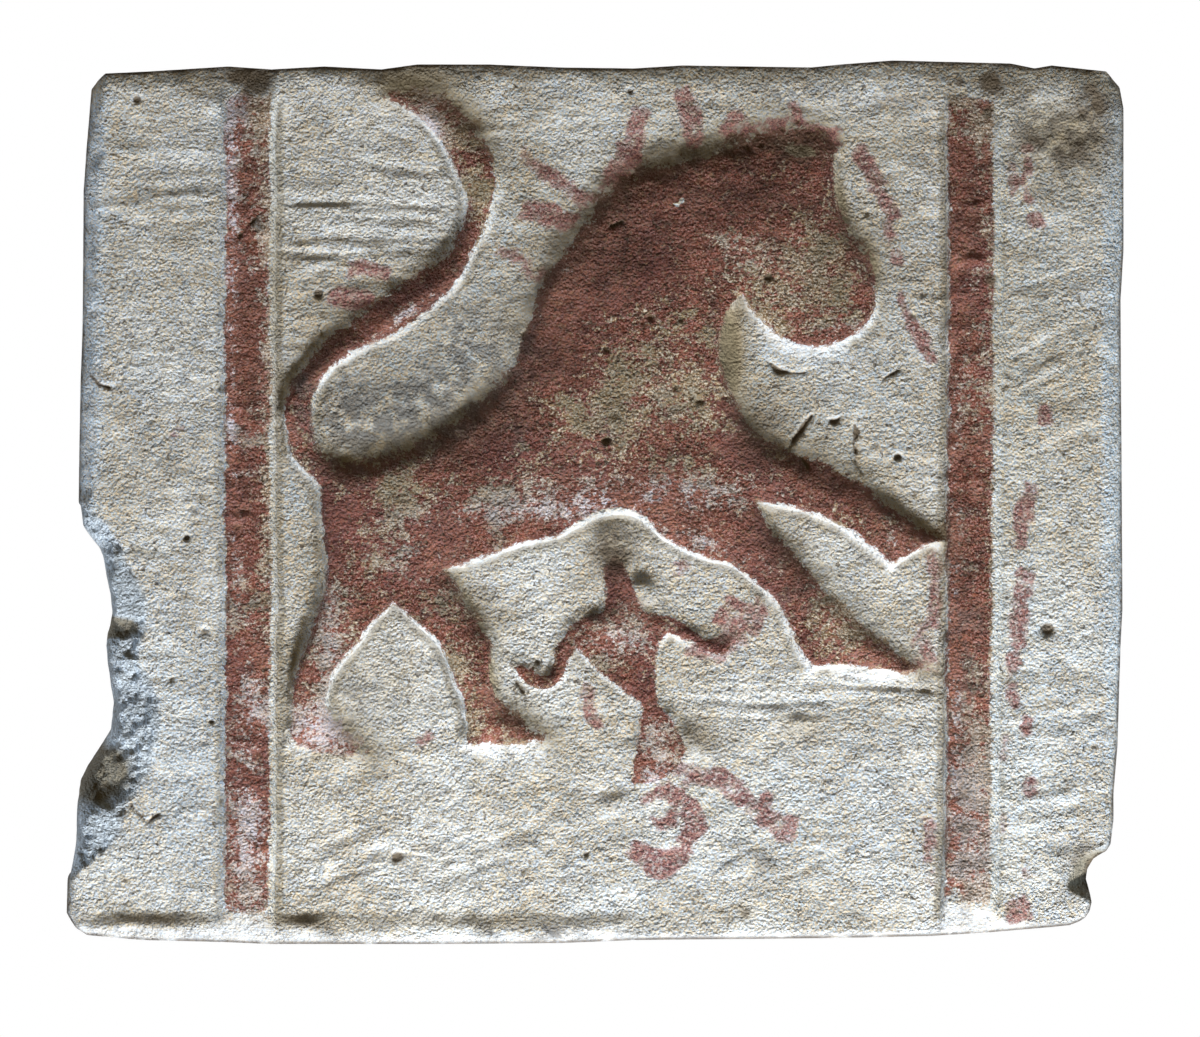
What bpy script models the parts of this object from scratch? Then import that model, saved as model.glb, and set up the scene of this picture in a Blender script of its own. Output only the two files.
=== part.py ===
# A fired clay relief plaque: a thick slab with two raised upright bands, and between them a striding
# animal with a small creature under its belly. The slab stands upright with its back in the plane
# Y = 0, its face towards -Y and +Z up. The origin is the middle of the back.

import math

import bmesh
import bpy
from mathutils import Matrix, Vector
from mathutils.geometry import delaunay_2d_cdt

# Slab, in metres
PLAQUE_WIDTH = 0.400
PLAQUE_HEIGHT = 0.334
SLAB_THICKNESS = 0.0485  # from the back to the ground of the relief, at its upper and lower rim
DISH_DEPTH = 0.0022  # how much deeper the ground lies halfway up
RIM_RUN = 0.034  # height over which the ground sinks from each rim
WORN_EDGE = 0.0060  # width of the worn slope round the face
BACK_EDGE = 0.0025  # width of the worn slope round the back

# Relief
RELIEF_HEIGHT = 0.0050  # of the bands and the animal over the ground at its rim
CREATURE_HEIGHT = 0.0022  # of the small creature over the same ground
WALL_RUN = 0.0026  # how far the foot of a relief's wall lies outside its upper edge
SHOULDER_RUN = 0.0085  # width over which the animal's surface rounds down to its edge
SHOULDER_DROP = 0.0019
BAND_WIDTH = 0.0190
LEFT_BAND_INSET = 0.0695  # from the slab's left edge to the middle of the left band
RIGHT_BAND_INSET = 0.0577
ANIMAL_LENGTH = 0.2483  # from the tail to the raised forefoot
ANIMAL_FOOT_HEIGHT = 0.0710  # from the slab's lower edge to the lowest foot

# Breaks
BREAK_DEPTH = 0.0440  # how far back from the face the broken left edge slopes in
BREAK_HOLLOW = 0.0045  # how far that slope is scooped out
CHIP_DEPTH = 0.0200  # the same for the chip at the lower right
PIECE_OVERLAP = 0.0060  # how far a relief's solid or a cutter runs on past the surface it meets

# The slab's outline, in drawing units: x to the right and y down, 1060 wide and 885 high.
SLAB_DRAWING = (1060, 885)
SLAB_OUTLINE = [
    (25, 28), (40, 13), (84, 11), (163, 6), (206, 9), (259, 6), (316, 9), (352, 4),
    (424, 4), (495, 7), (569, 8), (617, 5), (747, 7), (776, 4), (828, 0), (946, 3),
    (970, 8), (987, 5), (1042, 11), (1056, 26), (1060, 47), (1060, 190), (1057, 240),
    (1059, 549), (1057, 586), (1054, 686), (1050, 734), (1050, 760), (1047, 785), (1042, 793),
    (1033, 795), (1029, 801), (1024, 810), (1023, 820), (1025, 828), (1028, 843), (1026, 852),
    (1016, 862), (1006, 866), (987, 868), (928, 873), (865, 877), (769, 879), (569, 881),
    (495, 884), (378, 885), (203, 885), (159, 883), (76, 881), (21, 876), (10, 869), (0, 854),
    (1, 817), (4, 783), (5, 745), (8, 724), (15, 709), (31, 685), (39, 672), (42, 643),
    (40, 631), (35, 587), (36, 574), (42, 553), (40, 534), (36, 517), (33, 497), (29, 488),
    (20, 477), (12, 466), (12, 440), (13, 373), (16, 266), (17, 130), (20, 87),
]
# The worn slope round the face follows these four straight edges, corner by corner.
FACE_CORNERS = [(19, -1), (1061, -1), (1053, 886), (-2, 886)]
# Where the broken left edge meets the face, and below it the same break at its deepest, point by point.
BREAK_AT_FACE = [
    (10, 436), (46, 466), (66, 509), (78, 527), (84, 550), (78, 585), (74, 606), (87, 620),
    (96, 653), (97, 676), (90, 708), (77, 726), (62, 745), (60, 773), (38, 793), (-4, 822),
]
BREAK_AT_DEPTH = [
    (-4, 430), (2, 464), (13, 483), (24, 502), (31, 524), (33, 552), (27, 577), (28, 592),
    (31, 629), (33, 645), (29, 668), (20, 682), (7, 700), (-3, 722), (-8, 783), (-18, 826),
]
CHIP_AT_FACE = [
    (1064, 752), (1045, 779), (1030, 789), (1013, 797), (1004, 812), (1001, 829), (1018, 842), (1040, 846),
]
CHIP_AT_DEPTH = [
    (1074, 764), (1057, 792), (1044, 801), (1037, 806), (1032, 813), (1032, 823), (1036, 834), (1048, 850),
]

# The animal and the small creature, in units of a drawing where the animal is 658 long, from
# its tail at x = 0, and its lowest foot is at y = 664.
ANIMAL_DRAWING = (658, 664)
ANIMAL_OUTLINE = [
    (553, 57), (555, 107), (563, 129), (575, 150), (586, 171), (594, 192), (594, 210), (588, 227),
    (573, 242), (553, 252), (529, 255), (506, 250), (485, 235), (470, 220), (458, 203), (444, 228),
    (439, 254), (444, 279), (449, 302), (461, 327), (479, 347), (506, 362), (543, 374), (573, 389),
    (599, 407), (625, 427), (647, 442), (658, 449), (632, 460), (610, 473), (599, 464), (580, 449),
    (558, 434), (536, 423), (499, 414), (477, 410), (484, 431), (499, 451), (514, 466), (532, 484),
    (551, 503), (573, 525), (592, 543), (614, 564), (633, 577), (614, 580), (584, 575), (558, 574),
    (528, 576), (514, 550), (500, 521), (484, 499), (469, 487), (447, 473), (425, 467), (399, 457),
    (377, 443), (362, 429), (344, 421), (318, 424), (295, 435), (276, 445), (239, 453), (203, 465),
    (163, 478), (167, 486), (178, 504), (189, 522), (203, 540), (210, 558), (210, 576), (211, 595),
    (218, 613), (233, 628), (257, 645), (236, 652), (189, 652), (182, 650), (185, 634), (181, 619),
    (177, 604), (170, 587), (163, 565), (152, 547), (138, 533), (123, 521), (112, 512), (94, 529),
    (80, 547), (65, 565), (51, 583), (45, 602), (44, 617), (55, 635), (69, 650), (79, 662),
    (50, 664), (18, 656), (7, 642), (10, 627), (9, 605), (11, 591), (18, 565), (27, 540),
    (36, 514), (42, 489), (42, 452), (38, 423), (35, 394), (20, 377), (8, 362), (2, 337),
    (0, 317), (5, 299), (17, 281), (34, 261), (63, 236), (98, 211), (134, 186), (163, 165),
    (177, 140), (184, 115), (182, 100), (173, 79), (156, 47), (138, 24), (116, 9), (100, 4),
    (127, 0), (153, 5), (175, 19), (191, 35), (206, 55), (214, 77), (215, 97), (208, 126),
    (196, 150), (183, 176), (170, 196), (134, 229), (98, 247), (67, 264), (48, 279), (35, 296),
    (31, 312), (31, 332), (37, 356), (50, 368), (69, 374), (98, 367), (134, 355), (170, 337),
    (202, 312), (227, 284), (241, 245), (252, 216), (264, 190), (284, 155), (313, 119), (337, 91),
    (363, 77), (397, 65), (432, 54), (467, 45), (507, 40), (537, 44),
]
CREATURE_OUTLINE = [
    (281, 542), (300, 524), (318, 518), (322, 500), (316, 478), (312, 455), (320, 436), (343, 436),
    (352, 462), (349, 484), (368, 488), (374, 506), (362, 516), (392, 524), (412, 538), (433, 549),
    (449, 548), (445, 562), (430, 562), (408, 552), (388, 542), (377, 556), (374, 582), (377, 606),
    (392, 622), (410, 640), (418, 660), (404, 678), (380, 694), (345, 700), (350, 676), (357, 644),
    (357, 612), (335, 593), (312, 574), (294, 556), (285, 574), (281, 586), (265, 598), (243, 590),
    (226, 572), (243, 570), (262, 582), (272, 570), (274, 554),
]

CLAY = (0.63, 0.55, 0.42, 1.0)
CLAY_ROUGHNESS = 0.92
FLAT_ANGLE = math.radians(5)  # an edge bent less than this lies within a flat face
NO_DISTANCE = 0.00002  # points nearer to each other than this are one
EDGE_SOFTENING = 0.2  # share of a band's height taken off along its two front edges
INNER_RINGS = (0.3, 0.75)  # shares of the shoulder's run where rings of points carry its curve
RING_SPACING = 0.7  # the least distance between the points of a ring, as a share of its inset
RING_TOLERANCE = 0.92  # how near to the edge a ring's point may be, as a share of its inset
SHARPEST_SPREAD = 0.5  # keeps the outline's sharpest corners from being moved out too far
DISH_STEPS = 6  # flat strips in which the ground sinks from each rim


def slab_point(point):
    """X and Z of a point of the slab's drawing."""
    wide, high = SLAB_DRAWING
    return (point[0] / wide - 0.5) * PLAQUE_WIDTH, (0.5 - point[1] / high) * PLAQUE_HEIGHT


def animal_point(point):
    """X and Z of a point of the animal's drawing, centred between the two bands."""
    long, low = ANIMAL_DRAWING
    unit = ANIMAL_LENGTH / long
    middle = (LEFT_BAND_INSET - RIGHT_BAND_INSET) / 2
    foot = ANIMAL_FOOT_HEIGHT - PLAQUE_HEIGHT / 2
    return middle + (point[0] - long / 2) * unit, foot + (low - point[1]) * unit


def shown(name, mesh, collection):
    piece = bpy.data.objects.new(name, mesh)
    collection.objects.link(piece)
    return piece


def hidden(piece):
    piece.hide_render = True
    piece.display_type = "WIRE"
    return piece


def closed_piece(name, shape, collection):
    """The piece for a closed bmesh: cut into triangles, with its faces pointing out."""
    shape.normal_update()
    bmesh.ops.triangulate(shape, faces=shape.faces)
    bmesh.ops.recalc_face_normals(shape, faces=shape.faces)
    mesh = bpy.data.meshes.new(name)
    shape.to_mesh(mesh)
    shape.free()
    return shown(name, mesh, collection)


def close_caps(mesh):
    shape = bmesh.new()
    shape.from_mesh(mesh)
    bmesh.ops.remove_doubles(shape, verts=shape.verts, dist=NO_DISTANCE)
    bmesh.ops.recalc_face_normals(shape, faces=shape.faces)
    shape.to_mesh(mesh)
    shape.free()


def from_outline(name, points, low, high, turn, place, collection):
    """A closed mesh: an outline of (across, up) points extruded from low to high, turned and placed."""
    curve = bpy.data.curves.new(name, "CURVE")
    curve.dimensions = "2D"
    curve.fill_mode = "BOTH"
    curve.extrude = (high - low) / 2
    line = curve.splines.new("POLY")
    line.points.add(len(points) - 1)
    for spot, (across, up) in zip(line.points, points):
        spot.co = (across, up, 0, 1)
    line.use_cyclic_u = True
    drawn = bpy.data.objects.new(name + "_outline", curve)
    drawn.matrix_world = place @ turn @ Matrix.Translation((0, 0, (low + high) / 2))
    collection.objects.link(drawn)
    bpy.context.view_layer.update()
    mesh = bpy.data.meshes.new_from_object(drawn.evaluated_get(bpy.context.evaluated_depsgraph_get()))
    close_caps(mesh)
    piece = shown(name, mesh, collection)
    piece.matrix_world = drawn.matrix_world.copy()
    bpy.data.objects.remove(drawn)
    return piece


# An outline drawn in X and Z and extruded towards the face, and one drawn in Y and Z and extruded along X
FACING = Matrix.Rotation(math.radians(90), 4, "X")
SIDEWAYS = Matrix.Rotation(math.radians(90), 4, "Z") @ FACING
HERE = Matrix.Identity(4)


def bevel_edges(piece, chosen, width, segments):
    """Bevels the sharp edges for which chosen(start, end) holds, in the object's own axes."""
    shape = bmesh.new()
    shape.from_mesh(piece.data)
    sharp = [e for e in shape.edges if e.calc_face_angle() > FLAT_ANGLE]
    edges = [e for e in sharp if chosen(e.verts[0].co, e.verts[1].co)]
    bmesh.ops.bevel(
        shape, geom=edges, offset=width, segments=segments, profile=0.5, affect="EDGES", clamp_overlap=True
    )
    shape.to_mesh(piece.data)
    shape.free()


def cut(piece, cutter, operation, name):
    step = piece.modifiers.new(name, "BOOLEAN")
    step.operation = operation
    step.solver = "EXACT"
    step.object = cutter


def worn_block(collection):
    """A block with the slab's four straight edges, worn to a slope at the face and at the back."""
    top = SLAB_THICKNESS + RELIEF_HEIGHT
    corners = [slab_point(p) for p in FACE_CORNERS]
    block = from_outline("worn_block", corners, 0, top, FACING, HERE, collection)
    half = top / 2

    def at_face(a, b):
        return min(a.z, b.z) > half - NO_DISTANCE

    def at_back(a, b):
        return max(a.z, b.z) < -half + NO_DISTANCE

    bevel_edges(block, at_face, WORN_EDGE + RELIEF_HEIGHT, 1)
    bevel_edges(block, at_back, BACK_EDGE, 1)
    return hidden(block)


def break_cutter(name, at_face, at_depth, depth, hollow, collection):
    """A loft from a break's line at the face to its line at the deepest."""
    front = -(SLAB_THICKNESS + RELIEF_HEIGHT)
    side = math.copysign(1, at_face[0][0] - SLAB_DRAWING[0] / 2)
    levels = [(front - PIECE_OVERLAP, 0), (front, 0), (front + depth / 2, 0.5), (front + depth, 1)]
    count = len(at_face)
    shape = bmesh.new()
    rings = []
    for y, share in levels:
        ring = []
        for number, (near, far) in enumerate(zip(at_face, at_depth)):
            bow = math.sin(math.pi * share) * math.sin(math.pi * number / (count - 1))
            x, z = Vector(slab_point(near)).lerp(Vector(slab_point(far)), share)
            ring.append(shape.verts.new((x - side * hollow * bow, y, z)))
        for number in (count - 1, 0):
            x, z = slab_point(at_face[number])
            ring.append(shape.verts.new((x + side * depth, y, z)))
        rings.append(ring)
    for here, there in zip(rings, rings[1:]):
        for a in range(count + 2):
            b = (a + 1) % (count + 2)
            shape.faces.new((here[a], here[b], there[b], there[a]))
    shape.faces.new(rings[0])
    shape.faces.new(rings[-1])
    return hidden(closed_piece(name, shape, collection))


def moved_out(points, distance):
    """The outline with each corner moved outwards, square to its two sides."""
    count = len(points)
    turning = sum(
        a[0] * b[1] - b[0] * a[1] for a, b in zip(points, points[1:] + points[:1])
    )
    outwards = math.copysign(1, turning)
    moved = []
    for number, point in enumerate(points):
        before = (Vector(point) - Vector(points[number - 1])).normalized()
        after = (Vector(points[(number + 1) % count]) - Vector(point)).normalized()
        along = (before + after).normalized()
        spread = max(SHARPEST_SPREAD, along.dot(after))
        normal = Vector((along.y, -along.x)) * outwards
        moved.append(Vector(point) + normal * distance / spread)
    return moved


def distance_to(point, outline):
    """Distance from a point to an outline."""
    best = math.inf
    for a, b in zip(outline, outline[1:] + outline[:1]):
        side = b - a
        along = max(0.0, min(1.0, (point - a).dot(side) / side.length_squared))
        best = min(best, (a + side * along - point).length)
    return best


def inside(point, outline):
    crossings = False
    for a, b in zip(outline, outline[1:] + outline[:1]):
        if (a.y > point.y) != (b.y > point.y):
            if point.x < (b.x - a.x) * (point.y - a.y) / (b.y - a.y) + a.x:
                crossings = not crossings
    return crossings


def raised_shape(name, outline, height, drop, run, spacing, collection):
    """A relief's solid: sloping walls, and a top that rounds down by drop over run towards its edge."""
    edge = moved_out(outline, -WALL_RUN / 2)
    foot = moved_out(outline, WALL_RUN / 2)
    spots = list(edge)
    for inset in (run * share for share in INNER_RINGS):
        for spot in moved_out(outline, -WALL_RUN / 2 - inset)[::2]:
            if inside(spot, edge) and distance_to(spot, edge) > inset * RING_TOLERANCE:
                if min((spot - other).length for other in spots) > inset * RING_SPACING:
                    spots.append(spot)
    left, right = min(p.x for p in edge), max(p.x for p in edge)
    low, high = min(p.y for p in edge), max(p.y for p in edge)
    rows = int((high - low) / spacing) + 1
    columns = int((right - left) / spacing) + 1
    for row in range(rows):
        for column in range(columns):
            shift = (row % 2) / 2
            spot = Vector((left + (column + shift) * spacing, low + (row + 0.5) * spacing))
            if inside(spot, edge) and distance_to(spot, edge) > run:
                spots.append(spot)
    ring = [(n, (n + 1) % len(edge)) for n in range(len(edge))]
    whole = [list(range(len(edge)))]
    flat, _, faces, sources, _, _ = delaunay_2d_cdt(spots, ring, whole, 1, NO_DISTANCE)
    face = -(SLAB_THICKNESS + height)
    shape = bmesh.new()
    tops = []
    for spot, source in zip(flat, sources):
        on_edge = any(number < len(edge) for number in source)
        reach = 0.0 if on_edge else min(1.0, distance_to(spot, edge) / run)
        fall = drop * (1 - math.sin(reach * math.pi / 2))
        tops.append(shape.verts.new((spot.x, face + fall, spot.y)))
    for corners in faces:
        shape.faces.new([tops[c] for c in corners])
    places = {number: n for n, source in enumerate(sources) for number in source}
    buried = -(SLAB_THICKNESS - DISH_DEPTH - PIECE_OVERLAP)
    lows = [shape.verts.new((spot.x, buried, spot.y)) for spot in foot]
    for a, b in ring:
        shape.faces.new((tops[places[a]], tops[places[b]], lows[b], lows[a]))
    shape.faces.new(lows)
    return hidden(closed_piece(name, shape, collection))


def band(name, middle, collection):
    """An upright band with sloping sides, longer than the slab is high."""
    half = BAND_WIDTH / 2
    face = -(SLAB_THICKNESS + RELIEF_HEIGHT)
    buried = -(SLAB_THICKNESS - DISH_DEPTH - PIECE_OVERLAP)
    softened = min(BAND_WIDTH, RELIEF_HEIGHT) * EDGE_SOFTENING
    section = [
        (middle - half - WALL_RUN / 2, buried),
        (middle + half + WALL_RUN / 2, buried),
        (middle + half, face + softened),
        (middle + half - softened, face),
        (middle - half + softened, face),
        (middle - half, face + softened),
    ]
    reach = PLAQUE_HEIGHT / 2 + PIECE_OVERLAP
    return hidden(from_outline(name, section, -reach, reach, HERE, HERE, collection))


def ground_cutter(collection):
    """What stood before the ground: its back is the ground's own dished surface."""
    half = PLAQUE_HEIGHT / 2
    reach = half + PIECE_OVERLAP
    front = -(SLAB_THICKNESS + RELIEF_HEIGHT + 2 * PIECE_OVERLAP)
    section = [(front, reach), (-SLAB_THICKNESS, reach)]
    for step in range(DISH_STEPS + 1):
        share = step / DISH_STEPS
        sunk = DISH_DEPTH * (1 - math.cos(math.pi * share)) / 2
        section.append((-SLAB_THICKNESS + sunk, half - WORN_EDGE - RIM_RUN * share))
    section += [(y, -z) for y, z in reversed(section)]
    wide = PLAQUE_WIDTH / 2 + PIECE_OVERLAP
    return hidden(from_outline("ground_cutter", section, -wide, wide, SIDEWAYS, HERE, collection))


def fired_clay():
    material = bpy.data.materials.new("fired_clay")
    material.use_nodes = True
    finish = material.node_tree.nodes["Principled BSDF"]
    finish.inputs["Base Color"].default_value = CLAY
    finish.inputs["Roughness"].default_value = CLAY_ROUGHNESS
    return material


def build_plaque():
    for old in list(bpy.data.objects):
        bpy.data.objects.remove(old, do_unlink=True)
    parts = bpy.data.collections.new("relief_plaque")
    cutters = bpy.data.collections.new("cutters")
    bpy.context.scene.collection.children.link(parts)
    bpy.context.scene.collection.children.link(cutters)

    outline = [slab_point(p) for p in SLAB_OUTLINE]
    thickness = SLAB_THICKNESS + RELIEF_HEIGHT
    plaque = from_outline("relief_plaque", outline, 0, thickness, FACING, HERE, parts)
    plaque.data.materials.append(fired_clay())

    cut(plaque, worn_block(cutters), "INTERSECT", "worn_edges")
    left_break = break_cutter(
        "left_break", BREAK_AT_FACE, BREAK_AT_DEPTH, BREAK_DEPTH, BREAK_HOLLOW, cutters
    )
    cut(plaque, left_break, "DIFFERENCE", "broken_edge")
    corner_chip = break_cutter("corner_chip", CHIP_AT_FACE, CHIP_AT_DEPTH, CHIP_DEPTH, 0.0, cutters)
    cut(plaque, corner_chip, "DIFFERENCE", "chipped_corner")

    ground = ground_cutter(cutters)
    left_middle = LEFT_BAND_INSET - PLAQUE_WIDTH / 2
    right_middle = PLAQUE_WIDTH / 2 - RIGHT_BAND_INSET
    cut(ground, band("left_band", left_middle, cutters), "DIFFERENCE", "left_band")
    cut(ground, band("right_band", right_middle, cutters), "DIFFERENCE", "right_band")
    animal = raised_shape(
        "animal", [animal_point(p) for p in ANIMAL_OUTLINE],
        RELIEF_HEIGHT, SHOULDER_DROP, SHOULDER_RUN, SHOULDER_RUN, cutters,
    )
    cut(ground, animal, "DIFFERENCE", "animal")
    creature = raised_shape(
        "creature", [animal_point(p) for p in CREATURE_OUTLINE],
        CREATURE_HEIGHT, SHOULDER_DROP / 2, SHOULDER_RUN, SHOULDER_RUN, cutters,
    )
    cut(ground, creature, "DIFFERENCE", "creature")
    cut(plaque, ground, "DIFFERENCE", "ground")


build_plaque()
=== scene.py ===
import math

import bpy
import numpy as np
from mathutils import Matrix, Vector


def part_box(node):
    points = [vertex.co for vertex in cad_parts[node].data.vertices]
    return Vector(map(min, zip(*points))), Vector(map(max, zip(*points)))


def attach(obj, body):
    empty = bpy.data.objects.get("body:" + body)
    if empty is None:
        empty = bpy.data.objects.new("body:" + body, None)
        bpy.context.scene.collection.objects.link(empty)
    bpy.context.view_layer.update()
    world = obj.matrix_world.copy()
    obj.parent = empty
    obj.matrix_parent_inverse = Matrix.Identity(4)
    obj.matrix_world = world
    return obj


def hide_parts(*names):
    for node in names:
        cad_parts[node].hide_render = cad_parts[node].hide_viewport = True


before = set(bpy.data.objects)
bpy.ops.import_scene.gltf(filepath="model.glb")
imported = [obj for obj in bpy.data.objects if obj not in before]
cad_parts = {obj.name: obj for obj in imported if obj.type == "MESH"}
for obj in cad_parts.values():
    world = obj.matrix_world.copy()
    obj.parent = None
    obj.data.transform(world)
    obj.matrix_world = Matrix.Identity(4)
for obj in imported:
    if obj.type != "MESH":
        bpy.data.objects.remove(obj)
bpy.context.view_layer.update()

print("frame loaded")

# Places on the plaque are given as seen from the front, in steps: x to the right and y down. The slab
# fills x 65 to 1125 and y 60 to 945. Heights are in millimetres in front of the ground at its upper rim.
slabLeft, slabTop, slabRight, slabBottom = 65, 60, 1125, 945
middleX = (slabLeft + slabRight) / 2
middleY = (slabTop + slabBottom) / 2
boxLow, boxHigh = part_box("relief_plaque")
step = (boxHigh[0] - boxLow[0]) / (slabRight - slabLeft)  # metres in a step
reliefDepth = 0.0050  # metres from the ground's upper rim out to the relief's front
groundY = boxLow[1] + reliefDepth

# The shape is worked out on a sheet of evenly spaced places, a little larger than the slab
sheetGap = 1.5
sheetEdge = 12
sheetX = np.arange(slabLeft - sheetEdge, slabRight + sheetEdge, sheetGap)
sheetY = np.arange(slabTop - sheetEdge, slabBottom + sheetEdge, sheetGap)
x, y = np.meshgrid(sheetX, sheetY)


def ease(low, high, value):
    share = np.clip((value - low) / (high - low), 0.0, 1.0)
    return share * share * (3 - 2 * share)


def lineAcross(points, at):
    # y of a line of points that runs from left to right
    line = np.array(points, float)
    return np.interp(at, line[:, 0], line[:, 1])


def lineDown(points, at):
    # x of a line of points that runs from top to bottom
    line = np.array(points, float)
    return np.interp(at, line[:, 1], line[:, 0])


def lumps(px, py, wide, high, seed):
    # soft random hills from -1 to 1, each about wide by high
    table = np.random.default_rng(seed).uniform(-1, 1, (64, 64))
    gx, gy = px / wide, py / high
    ix, iy = np.floor(gx).astype(int), np.floor(gy).astype(int)
    fx, fy = gx - ix, gy - iy
    fx, fy = fx * fx * (3 - 2 * fx), fy * fy * (3 - 2 * fy)
    ix, iy, nextX, nextY = ix % 64, iy % 64, (ix + 1) % 64, (iy + 1) % 64
    upper = table[ix, iy] * (1 - fx) + table[nextX, iy] * fx
    lower = table[ix, nextY] * (1 - fx) + table[nextX, nextY] * fx
    return upper * (1 - fy) + lower * fy


def grit(px, py, size, seed, layers=3):
    # hills on hills, each layer turned, half as large and half as high
    total, amount = 0, 1.0
    for layer in range(layers):
        turn = 0.6 + layer * 1.3
        tx = px * math.cos(turn) + py * math.sin(turn)
        ty = py * math.cos(turn) - px * math.sin(turn)
        total = total + lumps(tx + 517, ty + 391, size, size, seed + layer) * amount
        size, amount = size * 0.5, amount * 0.55
    return total


def dragged(px, py, long, thin, angle, seed):
    # streaks of a tool drawn over the clay at an angle, in degrees up to the right
    turn = math.radians(angle)
    tx = px * math.cos(turn) - py * math.sin(turn)
    ty = px * math.sin(turn) + py * math.cos(turn)
    coarse = lumps(tx + 900, ty + 900, long, thin, seed)
    return coarse * 0.7 + lumps(tx + 300, ty + 700, long * 0.4, thin * 0.5, seed + 1) * 0.4


def part(lowX, highX, lowY, highY):
    # the stretch of the sheet round a feature
    c0, c1 = np.searchsorted(sheetX, (lowX, highX))
    r0, r1 = np.searchsorted(sheetY, (lowY, highY))
    return slice(max(r0 - 1, 0), r1 + 1), slice(max(c0 - 1, 0), c1 + 1)


def around(x0, y0, x1, y1, reach):
    # the stretch of the sheet within reach of a line from one place to another
    return part(min(x0, x1) - reach, max(x0, x1) + reach, min(y0, y1) - reach, max(y0, y1) + reach)


def ovals(places):
    # soft ovals: x, y, half width, half height, strength and lean in degrees
    total = np.zeros_like(x)
    for cx, cy, wide, high, *rest in places:
        strength = rest[0] if rest else 1.0
        lean = math.radians(rest[1]) if len(rest) > 1 else 0.0
        reach = max(wide, high) * 2.2
        near = around(cx, cy, cx, cy, reach)
        ax = (x[near] - cx) * math.cos(lean) - (y[near] - cy) * math.sin(lean)
        ay = (x[near] - cx) * math.sin(lean) + (y[near] - cy) * math.cos(lean)
        total[near] += strength * np.exp(-((ax / wide) ** 2 + (ay / high) ** 2))
    return total


def strokes(lines, blunt=False):
    # how far inside the nearest stroke each place is: a stroke is (x, y, width), point by point
    faraway = 30
    field = np.full(x.shape, -float(faraway))
    for line in lines:
        for (x0, y0, w0), (x1, y1, w1) in zip(line, line[1:]):
            near = around(x0, y0, x1, y1, faraway + max(w0, w1))
            dx, dy = x1 - x0, y1 - y0
            long = ((x[near] - x0) * dx + (y[near] - y0) * dy) / (dx * dx + dy * dy)
            share = np.clip(long, 0, 1)
            away = np.hypot(x[near] - x0 - dx * share, y[near] - y0 - dy * share)
            within = (w0 + (w1 - w0) * share) / 2 - away
            if blunt:  # cut off square at its two ends
                length = math.hypot(dx, dy)
                within = np.minimum(within, long * length + (2 if (x0, y0, w0) == line[0] else w0))
                within = np.minimum(within, (1 - long) * length + (2 if (x1, y1, w1) == line[-1] else w1))
            field[near] = np.maximum(field[near], within)
    return field


def blurred(sheet, reach):
    # the average over a square of that many places each way
    size = 2 * reach + 1
    padded = np.pad(sheet, reach + 1, mode="edge")
    total = padded.cumsum(0).cumsum(1)
    summed = total[size:, size:] - total[:-size, size:] - total[size:, :-size] + total[:-size, :-size]
    return (summed / size ** 2)[: sheet.shape[0], : sheet.shape[1]]


def rounded(points, corners=()):
    # the closed outline on a smooth curve through its points, except at the numbered corners
    count = len(points)
    places = np.array(points, float)
    fine = []
    for n in range(count):
        p0, p1, p2, p3 = (places[(n + k) % count] for k in (-1, 0, 1, 2))
        t1 = (p2 - p1 if n in corners else (p2 - p0) / 2)
        t2 = (p2 - p1 if (n + 1) % count in corners else (p3 - p1) / 2)
        for share in (0, 1 / 3, 2 / 3):
            square, cube = share ** 2, share ** 3
            fine.append(
                (2 * cube - 3 * square + 1) * p1 + (cube - 2 * square + share) * t1
                + (3 * square - 2 * cube) * p2 + (cube - square) * t2
            )
    return np.array(fine)


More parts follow.
